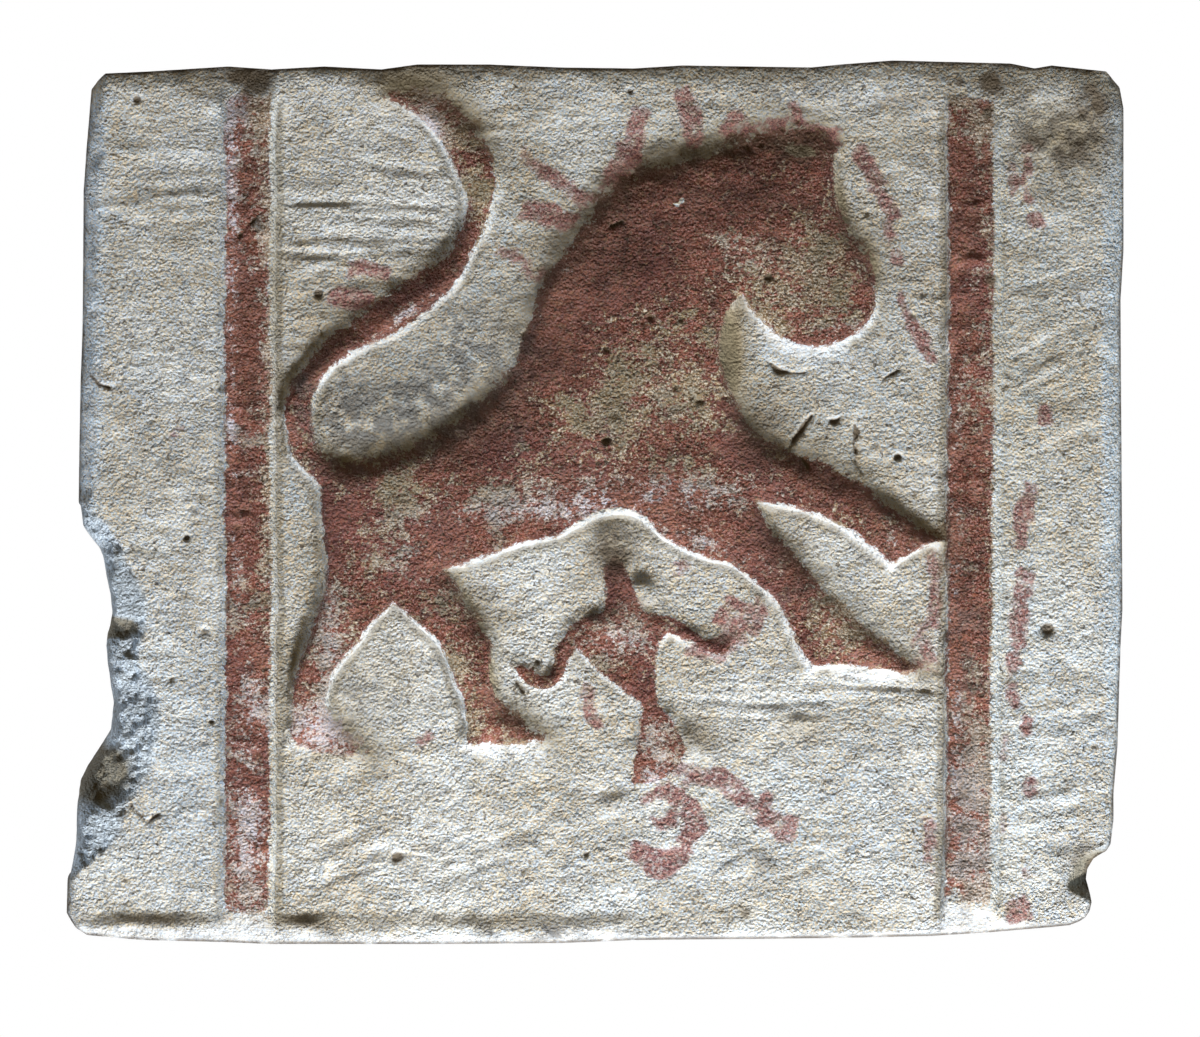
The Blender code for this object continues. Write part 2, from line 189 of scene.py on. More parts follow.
def raised(outline, walls, shiftX, shiftY):
    # a raised shape: its height share, 0 on the ground and 1 on top, how far inside the paint's edge each
    # place lies, and how far the nearest wall faces up. walls has, where the outline faces up, aside and
    # down, the wall's run outside and inside the outline and the paint's inset
    farthest = 60.0
    distance, painted, unpainted = (np.full(x.shape, farthest) for _ in range(3))
    outer = np.full(x.shape, 1.0)
    inner = np.full(x.shape, 3.0)
    upwards = np.zeros(x.shape)
    inside = np.zeros(x.shape, bool)
    px, py = x + shiftX, y + shiftY
    ends = np.roll(outline, -1, 0)
    turning = np.sum(outline[:, 0] * ends[:, 1] - ends[:, 0] * outline[:, 1])
    for (x0, y0), (x1, y1) in zip(outline, ends):
        dx, dy = x1 - x0, y1 - y0
        length = math.hypot(dx, dy)
        if length < 0.01:
            continue
        near = around(x0, y0, x1, y1, farthest)
        nx, ny = px[near], py[near]
        share = np.clip(((nx - x0) * dx + (ny - y0) * dy) / length ** 2, 0, 1)
        away = np.hypot(nx - x0 - dx * share, ny - y0 - dy * share)
        facing = math.copysign(1, turning) * dx / length  # 1 where the wall faces up, -1 down
        other = walls["up"] if facing > 0 else walls["down"]
        outside, within, inset = (
            aside + (upright - aside) * abs(facing) ** 1.3 for aside, upright in zip(walls["side"], other)
        )
        vary = 1 + 0.4 * lumps((x0 + x1) / 2, (y0 + y1) / 2, 23, 23, 140)
        outside, within = outside * vary, within * vary
        for cx, cy, wide, high, moreOutside, moreWithin in walls.get("wider", ()):
            bend = math.exp(-(((x0 + x1) / 2 - cx) / wide) ** 2 - (((y0 + y1) / 2 - cy) / high) ** 2)
            outside, within = outside + moreOutside * bend, within + moreWithin * bend
        unpainted[near] = np.where(away < distance[near], away + inset, unpainted[near])
        upwards[near] = np.where(away < distance[near], facing, upwards[near])
        painted[near] = np.minimum(painted[near], away - inset)
        distance[near] = np.minimum(distance[near], away)
        outer[near] = np.minimum(outer[near], away / outside)
        inner[near] = np.minimum(inner[near], away / within)
        if y0 != y1:
            rows = around(x0, y0, x1, y1, 14)[0]
            crossing = (y0 > py[rows]) != (y1 > py[rows])
            inside[rows] ^= crossing & (px[rows] < (x1 - x0) * (py[rows] - y0) / (y1 - y0) + x0)
    half = walls["edge"]
    foot = half * (1 - outer) ** (1.4 + 0.3 * blurred(upwards, 4))
    top = half + (1 - half) * np.sin(np.clip(inner, 0, 1) * math.pi / 2)
    return np.where(inside, top, foot), np.where(inside, painted, -unpainted), upwards


# The slab: its silhouette, the inner lines of its worn edges, and where it is broken

slab = {
    "left": [
        (96, 80), (90, 88), (85, 147), (82, 190), (81, 326), (79, 380), (78, 433), (77, 500), (77, 526),
        (85, 537), (94, 548), (98, 557), (101, 577), (105, 594), (107, 613), (101, 634), (100, 647),
        (105, 691), (107, 703), (104, 732), (96, 745), (80, 769), (73, 784), (70, 805), (69, 843), (66, 877),
        (65, 914), (69, 921),
    ],
    "right": [
        (1114, 78), (1121, 86), (1125, 107), (1125, 250), (1122, 300), (1124, 609), (1122, 646), (1119, 746),
        (1115, 794), (1115, 820), (1112, 845), (1107, 853), (1098, 855), (1094, 861), (1089, 870),
        (1088, 880), (1090, 888), (1093, 903), (1091, 912), (1087, 918),
    ],
    "top": [
        (96, 80), (105, 73), (149, 71), (228, 66), (271, 69), (324, 66), (381, 69), (417, 64), (489, 64),
        (560, 67), (634, 68), (682, 65), (812, 67), (841, 64), (893, 60), (1011, 63), (1035, 68), (1052, 65),
        (1107, 71), (1114, 78),
    ],
    "bottom": [
        (69, 921), (75, 929), (86, 936), (141, 941), (224, 943), (268, 945), (443, 945), (560, 944),
        (634, 941), (834, 939), (930, 937), (993, 933), (1052, 928), (1071, 926), (1081, 922), (1087, 918),
    ],
    "faceLeft": [(106, 60), (106, 150), (103, 300), (99, 480), (86, 520), (82, 880), (84, 945)],
    "faceRight": [
        (1102, 60), (1103, 300), (1102, 500), (1103, 640), (1107, 720), (1104, 800), (1100, 945),
    ],
    "faceTop": [
        (65, 88), (150, 81), (228, 82), (300, 77), (420, 77), (560, 80), (700, 81), (800, 83), (850, 85),
        (890, 77), (940, 77), (985, 89), (1040, 80), (1080, 86), (1125, 106),
    ],
    "faceBottom": [
        (65, 924), (140, 927), (222, 928), (300, 929), (430, 928), (560, 927), (700, 925), (840, 923),
        (930, 920), (1000, 917), (1125, 908),
    ],
    "wornDrops": (6.2, 5.6, 1.1, 4.2),  # millimetres, at the left, right, top and bottom
    "breakLine": [  # where the broken left edge meets the face
        (77, 500), (92, 512), (111, 526), (122, 550), (131, 569), (143, 588), (149, 610), (143, 643),
        (139, 664), (150, 678), (159, 698), (161, 715), (162, 736), (158, 753), (154, 770), (142, 787),
        (129, 803), (126, 816), (125, 834), (112, 846), (98, 857), (83, 868), (66, 880),
    ],
    "breakDrop": 36.0,  # millimetres
    "breakLedge": 5.5,
    "breakForms": [(96, 774, 34, 28, -3.6), (112, 628, 22, 9, -4.0), (96, 818, 30, 14, 5.0)],
    "chip": [
        (1129, 812), (1110, 839), (1095, 849), (1078, 857), (1069, 872), (1066, 889), (1083, 902),
        (1105, 906), (1160, 906), (1160, 812),
    ],
    "chipWalls": {"edge": 0.08, "up": (3, 34, 0), "side": (3, 30, 0), "down": (3, 34, 0)},
    "chipDrop": 16.0,
}

ground = {
    "dish": 2.0,  # millimetres that it falls back within rimRun of the upper edge
    "rimRun": 62,
    "lowRim": 2.4,  # the ground rises this much again within lowRun of the lower edge
    "lowRun": 17,
    "rimRises": [
        (150, 915, 70, 60, 0.95), (300, 915, 34, 60, 0.85), (480, 915, 190, 60, 0.4), (600, 915, 60, 60, 0.4),
    ],
    "lean": 0.9,  # and falls back this much over its lower half
    "swells": [
        (420, 345, 75, 55, 1.3, 25), (560, 110, 60, 35, 0.5), (890, 300, 50, 120, 0.4),
        (300, 540, 18, 90, -0.5), (640, 640, 60, 60, 0.3), (760, 118, 90, 22, 0.8), (412, 84, 32, 13, 1.8),
        (372, 400, 40, 26, 1.4, 20), (345, 430, 26, 26, 0.8), (1070, 210, 34, 50, 0.7),
        (160, 130, 60, 30, 0.5), (700, 850, 90, 40, 0.5), (180, 850, 40, 50, 0.4), (1050, 580, 30, 90, 0.4),
        (360, 160, 60, 50, 0.4),
    ],
    "crumbly": [  # ovals of rougher ground
        (1060, 135, 50, 40, 2.2), (110, 372, 30, 24, 1.8), (390, 400, 70, 34, 0.8), (210, 790, 24, 20, 1.0),
        (640, 100, 120, 16, 0.8), (890, 130, 50, 40, 0.8), (800, 730, 30, 20, 0.8), (1080, 560, 24, 120, 0.6),
    ],
    "streaks": [  # ovals that hold drawn streaks, then the streaks' angle, length and width
        ((370, 240, 110, 80, 1.1), -2, 120, 9), ((150, 190, 70, 60, 0.9), 1, 90, 9),
        ((800, 685, 170, 40, 1.0), -3, 110, 9), ((1050, 370, 60, 80, 1.1), 26, 70, 12),
        ((420, 850, 170, 60, 1.0), 24, 80, 13), ((150, 640, 70, 160, 0.5), -4, 60, 9),
        ((1050, 760, 60, 110, 0.7), 8, 80, 12), ((640, 850, 160, 60, 0.6), 10, 70, 12),
        ((880, 540, 60, 90, 0.5), -50, 60, 10), ((560, 620, 60, 60, 0.6), 30, 50, 9),
        ((870, 130, 80, 50, 0.5), 10, 50, 8), ((540, 120, 90, 30, 0.6), 4, 60, 8),
    ],
}

bands = {
    "leftMiddle": [(250, 40), (249, 300), (250, 520), (250, 760), (248, 960)],
    "rightMiddle": [(972, 40), (973, 300), (972, 520), (971, 760), (968, 960)],
    "paintEnds": {"leftMiddle": (92, 914), "rightMiddle": (98, 900)},
    "half": 25,
    "height": 3.1,
    "marginRise": 2.8,  # the margins rise this much towards the bands, between these places
    "marginRuns": {"leftMiddle": (160, 222), "rightMiddle": (1060, 1000)},
    "ledges": [  # x, y, half width, half height, millimetres
        (262, 232, 18, 4, 0.8), (240, 230, 10, 12, -0.6), (237, 408, 14, 4, 0.7), (238, 517, 16, 4, 1.1),
        (240, 530, 14, 8, -0.7), (250, 742, 18, 4, 1.0), (262, 758, 7, 6, -1.2), (972, 260, 26, 5, 1.0),
        (972, 274, 22, 6, -0.8), (972, 206, 14, 4, 0.8), (966, 215, 14, 5, -0.5), (990, 281, 9, 7, 0.7),
        (246, 78, 28, 14, -2.2), (962, 640, 18, 6, -0.5), (975, 480, 18, 6, 0.5), (258, 872, 16, 9, -0.6),
        (962, 888, 16, 12, -0.9), (255, 590, 12, 8, -0.5), (236, 668, 10, 16, -0.4), (985, 560, 8, 18, -0.4),
    ],
}

animal = {
    "height": 3.4,
    "dome": 2.6,  # how much higher it stands well inside its edge
    "domeRun": 52,
    "edge": 0.52,  # the share of its height that it has at the outline
    "up": (15, 20, 0),  # its walls: run outside, run inside, the paint's inset
    "side": (5, 6, 1),
    "down": (2.8, 4, 1.2),
    "wider": [  # x, y, half width, half height, more run outside and inside the outline
        (640, 190, 120, 70, 20, 14), (790, 135, 60, 30, 14, 26), (520, 350, 40, 80, 22, 4),
        (400, 460, 70, 16, 14, 0), (805, 348, 60, 24, 10, 0), (752, 325, 20, 26, 6, 0),
        (725, 380, 16, 60, 11, 3), (800, 470, 70, 30, 14, 0), (870, 250, 20, 50, 8, 4),
        (840, 600, 60, 60, 10, 0), (500, 680, 24, 70, 9, 0), (315, 590, 16, 90, 8, 0),
        (440, 150, 40, 60, -1, 6), (350, 310, 80, 50, 3, 8), (400, 325, 90, 50, 2, 2),
        (420, 95, 40, 20, 8, 8), (600, 520, 60, 20, 2, 0), (480, 555, 50, 20, 3, 1), (505, 748, 40, 14, 9, 0),
        (870, 672, 40, 14, 6, 0), (820, 520, 60, 20, 0.5, 0), (325, 753, 36, 12, 9, 3),
    ],
    "outline": [
        (835, 150), (837, 200), (845, 222), (857, 243), (868, 264), (876, 285), (876, 303), (870, 320),
        (855, 335), (835, 345), (811, 348), (788, 343), (767, 328), (752, 313), (740, 296), (726, 321),
        (721, 347), (726, 372), (731, 395), (743, 420), (761, 440), (788, 455), (825, 467), (855, 482),
        (881, 500), (907, 520), (929, 535), (940, 542), (914, 553), (892, 566), (881, 557), (862, 542),
        (840, 527), (818, 516), (781, 507), (759, 503), (766, 524), (781, 544), (796, 559), (814, 577),
        (833, 596), (855, 618), (874, 636), (896, 657), (915, 670), (896, 673), (866, 668), (840, 667),
        (810, 669), (796, 643), (782, 614), (766, 592), (751, 580), (729, 566), (707, 560), (681, 550),
        (659, 536), (644, 522), (626, 514), (600, 517), (577, 528), (558, 538), (521, 546), (485, 558),
        (445, 571), (449, 579), (460, 597), (471, 615), (485, 633), (492, 651), (492, 669), (493, 688),
        (500, 706), (515, 721), (539, 738), (518, 745), (471, 745), (464, 743), (467, 727), (463, 712),
        (459, 697), (452, 680), (445, 658), (434, 640), (420, 626), (405, 614), (394, 605), (376, 622),
        (362, 640), (347, 658), (333, 676), (327, 695), (326, 710), (337, 728), (351, 743), (361, 755),
        (332, 757), (300, 749), (289, 735), (292, 720), (291, 698), (293, 684), (300, 658), (309, 633),
        (318, 607), (324, 582), (324, 545), (320, 516), (317, 487), (302, 470), (290, 455), (284, 430),
        (282, 410), (287, 392), (299, 374), (316, 354), (345, 329), (380, 304), (416, 279), (445, 258),
        (459, 233), (466, 208), (464, 193), (455, 172), (438, 140), (420, 117), (398, 102), (382, 97),
        (409, 93), (435, 98), (457, 112), (473, 128), (488, 148), (496, 170), (497, 190), (490, 219),
        (478, 243), (465, 269), (452, 289), (416, 322), (380, 340), (349, 357), (330, 372), (317, 389),
        (313, 405), (313, 425), (319, 449), (332, 461), (351, 467), (380, 460), (416, 448), (452, 430),
        (484, 405), (509, 377), (523, 338), (534, 309), (546, 283), (566, 248), (595, 212), (619, 184),
        (645, 170), (679, 158), (714, 147), (749, 138), (789, 133), (819, 137),
    ],
    "corners": (0, 14, 27, 29, 35, 44, 48, 64, 74, 77, 86, 95, 127),
    "fades": [
        (330, 752, 56, 26, 0.8), (300, 716, 20, 30, 0.3), (508, 747, 48, 15, 0.5), (880, 672, 50, 14, 0.4),
    ],
    "swells": [
        (690, 300, 90, 90, 0.4), (400, 520, 60, 50, 0.3), (800, 260, 50, 50, 0.3), (640, 400, 120, 60, -0.5),
        (760, 380, 30, 60, -0.3), (860, 620, 40, 40, -0.6), (410, 330, 60, 50, -0.8, 35),
    ],
}

creature = {
    "height": 2.7,
    "sinks": (795, 735),  # it runs out into the ground between these
    "edge": 0.5,
    "up": (12, 10, 0),
    "side": (5, 8, 0),
    "down": (3.5, 7, 0.5),
    "outline": [
        (563, 635), (582, 617), (600, 611), (604, 593), (598, 571), (594, 548), (602, 529), (625, 529),
        (634, 555), (631, 577), (650, 581), (656, 599), (644, 609), (674, 617), (694, 631), (715, 642),
        (731, 641), (727, 655), (712, 655), (690, 645), (670, 635), (659, 649), (656, 675), (659, 699),
        (674, 715), (692, 733), (700, 753), (686, 771), (662, 787), (627, 793), (632, 769), (639, 737),
        (639, 705), (617, 686), (594, 667), (576, 649), (567, 667), (563, 679), (547, 691), (525, 683),
        (508, 665), (525, 663), (544, 675), (554, 663), (556, 647),
    ],
    "corners": (16, 20, 29, 32, 35, 38, 40),
}

marks = {
    "specks": 260,  # small pits and lumps, placed by chance
    "crackDepth": 1.3,  # millimetres
    "furrowDepth": 0.45,
    "pits": [  # x, y, radius, millimetres deep
        (186, 538, 5, 1.6), (318, 293, 6, 1.3), (397, 858, 9, 1.4), (1048, 629, 9, 1.6), (622, 845, 3, 1.0),
        (586, 855, 4, 1.0), (522, 632, 4, 1.2), (537, 662, 4, 1.0), (211, 722, 3, 1.2), (171, 679, 3, 1.0),
        (205, 632, 8, 1.0), (137, 99, 6, 1.2), (203, 742, 5, 0.8), (748, 706, 5, 0.8), (700, 705, 5, 0.7),
        (606, 440, 5, 1.0), (898, 457, 5, 1.2), (150, 420, 4, 0.8), (646, 567, 4, 1.0), (700, 402, 5, 1.2),
        (768, 278, 5, 1.2), (680, 320, 4, 1.0), (1093, 862, 5, 0.9), (650, 317, 4, 0.9), (630, 91, 4, 1.2),
        (1095, 746, 4, 0.9), (1105, 793, 4, 0.9), (1102, 843, 4, 0.9), (820, 851, 5, 0.9), (524, 869, 4, 0.8),
        (675, 387, 5, 1.0), (615, 414, 6, 0.9), (606, 440, 5, 0.9), (606, 350, 4, 0.8), (867, 213, 3, 0.9),
    ],
    "bumps": [  # x, y, half width, half height, millimetres high
        (797, 722, 24, 11, 1.2), (578, 806, 22, 10, 1.0), (614, 801, 8, 7, 1.4), (628, 797, 4, 6, 0.9),
        (678, 204, 4, 3, 0.5), (355, 700, 14, 20, 0.4), (120, 365, 8, 12, 0.7), (97, 381, 12, 4, 0.8),
        (1062, 212, 14, 10, 0.6), (642, 590, 14, 9, 0.9), (794, 597, 12, 7, 0.8), (200, 809, 16, 4, 0.8),
        (615, 553, 15, 19, -1.1), (600, 604, 24, 10, -0.5), (785, 327, 20, 8, 0.7), (735, 318, 6, 14, 0.6),
    ],
    "cracks": [  # x, y and width, point by point
        [(812, 416, 3), (806, 423, 5), (799, 433, 5), (793, 442, 4), (788, 449, 2)],
        [(831, 421, 3), (836, 422, 5), (841, 417, 3), (849, 416, 1)],
        [(855, 424, 2), (857, 432, 5), (854, 441, 4), (856, 451, 2), (856, 462, 3), (863, 474, 1)],
        [(764, 359, 2), (771, 364, 4), (778, 371, 5), (789, 372, 3), (803, 373, 3), (814, 369, 1)],
        [(881, 380, 2), (890, 375, 4), (900, 370, 4)], [(516, 682, 3), (525, 696, 3), (530, 704, 1)],
        [(130, 806, 3), (147, 823, 4), (158, 815, 3)], [(612, 226, 4), (622, 222, 3)],
        [(801, 457, 3), (808, 468, 4)], [(230, 243, 1), (240, 236, 2), (247, 228, 2), (258, 217, 2)],
        [(88, 372, 2), (98, 384, 3), (110, 388, 2)],
    ],
    "furrows": [  # shallow lines left by the tool or by drying: x, y and width, point by point
        [(382, 128, 2), (398, 139, 2), (412, 141, 3)], [(806, 372, 2), (820, 368, 3), (825, 361, 2)],
        [(304, 280, 3), (318, 272, 4), (330, 265, 2)], [(112, 356, 3), (126, 364, 3), (138, 378, 2)],
        [(100, 366, 3), (118, 378, 3), (130, 396, 2)],
        [(678, 716, 2), (760, 718, 3), (850, 716, 2), (944, 719, 3)], [(556, 716, 2), (640, 714, 2)],
        [(779, 731, 3), (788, 718, 5), (804, 712, 5), (820, 714, 3)], [(797, 740, 2), (812, 736, 3)],
        [(1037, 717, 2), (1101, 714, 3)], [(1032, 792, 2), (1070, 790, 3), (1102, 793, 2)],
        [(185, 809, 3), (215, 807, 2)], [(1016, 290, 2), (1050, 278, 3), (1086, 268, 2)],
        [(1010, 362, 2), (1050, 338, 3), (1095, 320, 2)], [(400, 852, 2), (440, 862, 3), (470, 858, 2)],
        [(290, 240, 2), (340, 237, 3), (430, 240, 2)], [(284, 205, 2), (360, 202, 3), (440, 208, 2)],
        [(180, 236, 2), (150, 226, 3), (120, 222, 2)], [(690, 700, 2), (780, 704, 3), (880, 700, 2)],
        [(740, 688, 2), (830, 684, 3), (930, 690, 2)], [(150, 600, 2), (186, 596, 3), (212, 602, 2)],
        [(760, 886, 2), (800, 872, 3), (850, 846, 2)], [(700, 880, 2), (745, 850, 3), (770, 846, 2)],
        [(620, 905, 2), (660, 880, 3), (690, 870, 2)], [(300, 900, 2), (340, 876, 3), (380, 868, 2)],
    ],
}


# Where the paint, its wear, the stains and the painted light and shade are

paint = {
    "brushed": [  # brush strokes on the ground: strength, then x, y and width, point by point
        (0.7, [(524, 154, 5), (552, 178, 12), (588, 203, 14)]),
        (0.95, [(524, 208, 14), (545, 214, 17), (570, 224, 17)]),
        (0.6, [(499, 251, 6), (520, 261, 9), (541, 274, 12)]),
        (0.95, [(641, 114, 13), (630, 150, 20), (612, 190, 20)]),
        (1.0, [(686, 92, 15), (692, 112, 16), (693, 140, 13)]),
        (0.7, [(723, 132, 9), (735, 118, 13), (742, 112, 10)]), (0.5, [(793, 103, 6), (797, 118, 6)]),
        (0.85, [(745, 132, 10), (785, 126, 16), (836, 138, 14)]),
        (0.8, [(856, 151, 12), (870, 168, 13), (882, 184, 12)]),
        (0.7, [(875, 188, 10), (885, 202, 10), (893, 214, 8)]),
        (0.6, [(889, 225, 7), (895, 248, 8), (899, 262, 6)]),
        (0.5, [(902, 290, 4), (906, 315, 5), (914, 330, 8)]),
        (0.9, [(912, 324, 8), (922, 340, 10), (932, 360, 7)]),
        (0.85, [(333, 296, 12), (350, 298, 20), (367, 302, 14)]),
        (0.75, [(352, 270, 10), (368, 270, 14), (385, 274, 10)]), (0.9, [(1027, 151, 5), (1028, 199, 5)]),
        (0.6, [(1012, 168, 5), (1014, 204, 5)]), (0.9, [(1037, 218, 10), (1037, 224, 10)]),
        (0.8, [(1044, 408, 8), (1046, 420, 8)]), (0.7, [(1030, 487, 9), (1025, 515, 12), (1020, 545, 8)]),
        (0.75, [(1025, 574, 12), (1020, 610, 15), (1018, 644, 13)]), (0.6, [(1014, 656, 9), (1015, 672, 8)]),
        (0.6, [(1013, 687, 8), (1013, 705, 7)]), (0.8, [(1029, 719, 8), (1027, 731, 7)]),
        (0.6, [(1007, 740, 7), (1005, 758, 7)]), (0.7, [(1031, 783, 8), (1033, 793, 8)]),
        (0.4, [(1005, 818, 8), (1004, 835, 8)]), (0.6, [(1027, 863, 7), (1027, 875, 7)]),
        (0.85, [(1016, 902, 18), (1021, 918, 20)]), (0.75, [(934, 556, 7), (937, 592, 10), (935, 628, 9)]),
        (0.45, [(928, 630, 24), (925, 665, 24)]), (0.5, [(930, 815, 7), (932, 850, 8), (932, 883, 5)]),
        (0.7, [(417, 747, 5), (428, 736, 5)]), (0.7, [(176, 418, 4), (180, 426, 5), (174, 432, 3)]),
        (0.7, [(588, 690, 6), (590, 712, 8), (597, 726, 6)]),
        (0.65, [(722, 610, 26), (745, 622, 34), (762, 608, 16)]),
        (0.7, [(740, 635, 24), (716, 652, 16), (690, 648, 12)]), (0.6, [(676, 570, 9), (686, 566, 9)]),
        (0.8, [(644, 798, 7), (671, 792, 9)]),
        (1.0, [(671, 792, 9), (690, 806, 12), (696, 830, 13), (682, 850, 14)]),
        (1.0, [(682, 852, 14), (660, 866, 22), (634, 851, 14)]), (0.85, [(656, 822, 9), (674, 820, 12)]),
        (0.85, [(690, 776, 10), (716, 776, 14), (736, 790, 13), (752, 806, 10)]),
        (0.85, [(752, 808, 12), (772, 822, 18), (790, 830, 24)]), (0.8, [(762, 812, 8), (768, 798, 8)]),
        (0.5, [(668, 770, 30), (700, 778, 12)]),
    ],
    "worn": [  # ovals where the red has worn through to cream and brown specks
        (455, 660, 26, 70, 0.6), (322, 660, 24, 70, 0.5), (612, 636, 46, 26, 0.35), (652, 735, 16, 40, 0.45),
        (560, 470, 60, 30, 0.3), (400, 470, 50, 30, 0.35), (690, 390, 85, 55, 0.65), (820, 270, 45, 45, 0.55),
        (735, 250, 60, 30, 0.3), (800, 325, 44, 14, 0.35), (672, 752, 20, 30, 0.5), (840, 625, 40, 45, 0.95),
        (445, 140, 34, 60, 0.75), (480, 200, 14, 40, 0.6), (590, 420, 60, 50, 0.6), (540, 500, 60, 24, 0.4),
        (880, 520, 50, 30, 0.5), (390, 560, 60, 60, 0.3), (320, 730, 40, 30, 1.0), (480, 720, 26, 26, 0.55),
        (249, 840, 24, 90, 0.35), (972, 800, 24, 110, 0.6), (249, 250, 24, 60, 0.3),
        (972, 400, 24, 120, 0.25), (249, 600, 24, 60, 0.35), (620, 640, 60, 30, 0.3),
        (740, 480, 50, 20, 0.45), (300, 440, 18, 50, 0.5), (249, 120, 26, 36, 0.5), (640, 620, 20, 16, 0.5),
        (231, 230, 8, 150, 0.6), (232, 440, 6, 60, 0.5), (252, 700, 16, 36, 0.45), (250, 815, 18, 36, 0.45),
        (665, 782, 30, 12, 0.9), (980, 820, 12, 80, 0.7), (972, 700, 20, 60, 0.4),
        (560, 490, 120, 20, 0.15, 2), (780, 300, 60, 36, 0.45), (800, 240, 40, 60, 0.25),
        (249, 885, 24, 36, 0.7), (972, 865, 24, 50, 0.8), (262, 300, 9, 260, 0.35), (985, 300, 9, 200, 0.35),
        (600, 508, 150, 14, 0.4, 4), (700, 545, 80, 12, 0.5, -20), (269, 400, 7, 300, 0.6),
        (993, 640, 6, 260, 0.6), (412, 310, 50, 6, 0.7, 36), (340, 640, 20, 60, 0.4),
        (400, 500, 40, 30, 0.45), (620, 320, 50, 30, 0.3),
    ],
    "bare": [  # ovals on the relief that the paint leaves out
        (676, 205, 3.5, 2.5, 5.0), (682, 201, 2.5, 3.5, 5.0), (800, 153, 21, 10, 2.0, -8),
        (700, 154, 50, 8, 1.0, 12), (560, 240, 40, 8, 0.8, 48), (614, 540, 26, 24, 1.8),
        (690, 750, 24, 44, 0.8), (644, 592, 13, 10, 1.4), (655, 792, 44, 9, 0.7),
    ],
    "dullAndShade": [  # ovals of duller, darker clay, most of it painted shade where the ground dips and swells up away from the low lamp
        (95, 92, 11, 20, 0.9), (734, 352, 12, 46, 0.9), (395, 395, 70, 40, 0.3, 25), (1060, 135, 50, 36, 0.6),
        (415, 400, 100, 60, 0.95, 25), (545, 240, 46, 110, 0.55), (500, 300, 40, 60, 0.5, 50),
        (905, 250, 40, 170, 0.4), (850, 420, 90, 50, 0.5), (1060, 230, 50, 180, 0.5), (340, 310, 60, 30, 0.3),
        (150, 200, 60, 120, 0.15), (620, 100, 120, 30, 0.4), (760, 380, 40, 60, 0.4),
        (900, 120, 60, 40, 0.35), (310, 560, 14, 90, 0.4),
    ],
    "cool": [  # ovals of painted cool light: a bluish tint on the slab's side strips, the bands' edges, the muzzle wall and the lower ground
        (190, 760, 60, 150, 0.7), (150, 400, 60, 90, 0.25), (92, 260, 9, 200, 0.9), (86, 450, 8, 70, 0.8),
        (1114, 380, 9, 330, 1.1), (1060, 740, 60, 150, 0.5), (860, 800, 120, 100, 0.5),
        (640, 880, 120, 50, 0.3), (224, 400, 5, 420, 0.3), (420, 250, 30, 30, 0.3), (230, 115, 12, 20, 0.8),
        (540, 310, 30, 40, 0.35), (810, 352, 50, 10, 0.8), (300, 480, 16, 60, 0.5),
        (520, 536, 60, 8, 0.5, 18), (880, 300, 60, 60, 0.2),
    ],
    "pale": [  # ovals of pale pink and lilac flecks in the red, with painted highlights on the bands' left edges and the lower edges of belly, tail and muzzle
        (249, 300, 26, 240, 0.28), (249, 790, 26, 150, 0.4), (972, 260, 26, 220, 0.2),
        (972, 800, 26, 130, 0.3), (231, 230, 7, 150, 1.0), (232, 440, 5, 60, 0.8), (234, 112, 10, 22, 1.6),
        (252, 700, 16, 36, 0.4), (250, 815, 18, 36, 0.35), (320, 730, 40, 26, 0.9), (620, 485, 120, 16, 0.25),
        (236, 540, 7, 60, 0.6), (665, 782, 30, 12, 1.0), (620, 640, 40, 20, 0.5), (655, 745, 24, 40, 0.4),
        (600, 506, 150, 16, 0.75, 4), (700, 540, 80, 12, 0.6, -20), (730, 250, 50, 20, 0.2),
        (440, 560, 60, 24, 0.4), (412, 310, 50, 6, 0.9, 36), (372, 352, 30, 6, 0.9, 25),
        (860, 335, 40, 12, 0.5), (430, 130, 14, 30, 0.8), (330, 640, 14, 60, 0.5), (955, 640, 6, 240, 0.6),
        (249, 860, 24, 40, 0.3), (972, 840, 24, 60, 0.25), (562, 290, 12, 40, 0.6, -30),
        (640, 590, 20, 20, 0.5), (900, 545, 20, 12, 0.6),
    ],
    "tan": [  # ovals where the clay is tan, with painted shade on walls and slopes turned from the low lamp and along the bottom edge
        (841, 205, 8, 34, 1.6, 12), (872, 262, 8, 26, 1.5, 15), (730, 352, 14, 50, 2.2, 0),
        (488, 670, 7, 50, 1.3, 12), (806, 151, 34, 14, 0.9, -8), (400, 88, 34, 22, 0.9),
        (430, 76, 30, 12, 0.6), (515, 330, 26, 40, 0.5, 60), (274, 300, 4, 160, 0.5), (470, 160, 16, 40, 0.5),
        (1065, 135, 50, 40, 1.0), (695, 736, 22, 20, 0.8), (155, 919, 62, 7, 1.0), (300, 920, 30, 8, 0.8),
        (470, 921, 190, 7, 0.6), (745, 913, 8, 9, 0.9), (1085, 860, 16, 14, 0.8), (480, 640, 12, 40, 0.6, 20),
        (800, 600, 50, 12, 0.7, -48), (900, 510, 50, 10, 0.5, -32), (640, 604, 24, 8, 0.6),
        (612, 548, 24, 24, 1.0), (395, 680, 40, 50, 0.25), (345, 690, 16, 40, 0.3), (800, 728, 26, 15, 0.7),
        (728, 350, 7, 40, 0.9, 6), (330, 758, 34, 5, 0.8), (925, 674, 20, 6, 0.5),
        (800, 153, 26, 13, 0.5, -8),
    ],
    "deep": [  # ovals where the red is thick and dark, with painted shade where the neck and back round up away from the low lamp
        (620, 260, 80, 45, 0.9, 35), (540, 350, 30, 60, 0.9, 60), (480, 440, 70, 26, 0.7, 30),
        (760, 200, 70, 24, 0.9), (600, 500, 80, 24, 0.5), (430, 300, 60, 14, 0.8, 35),
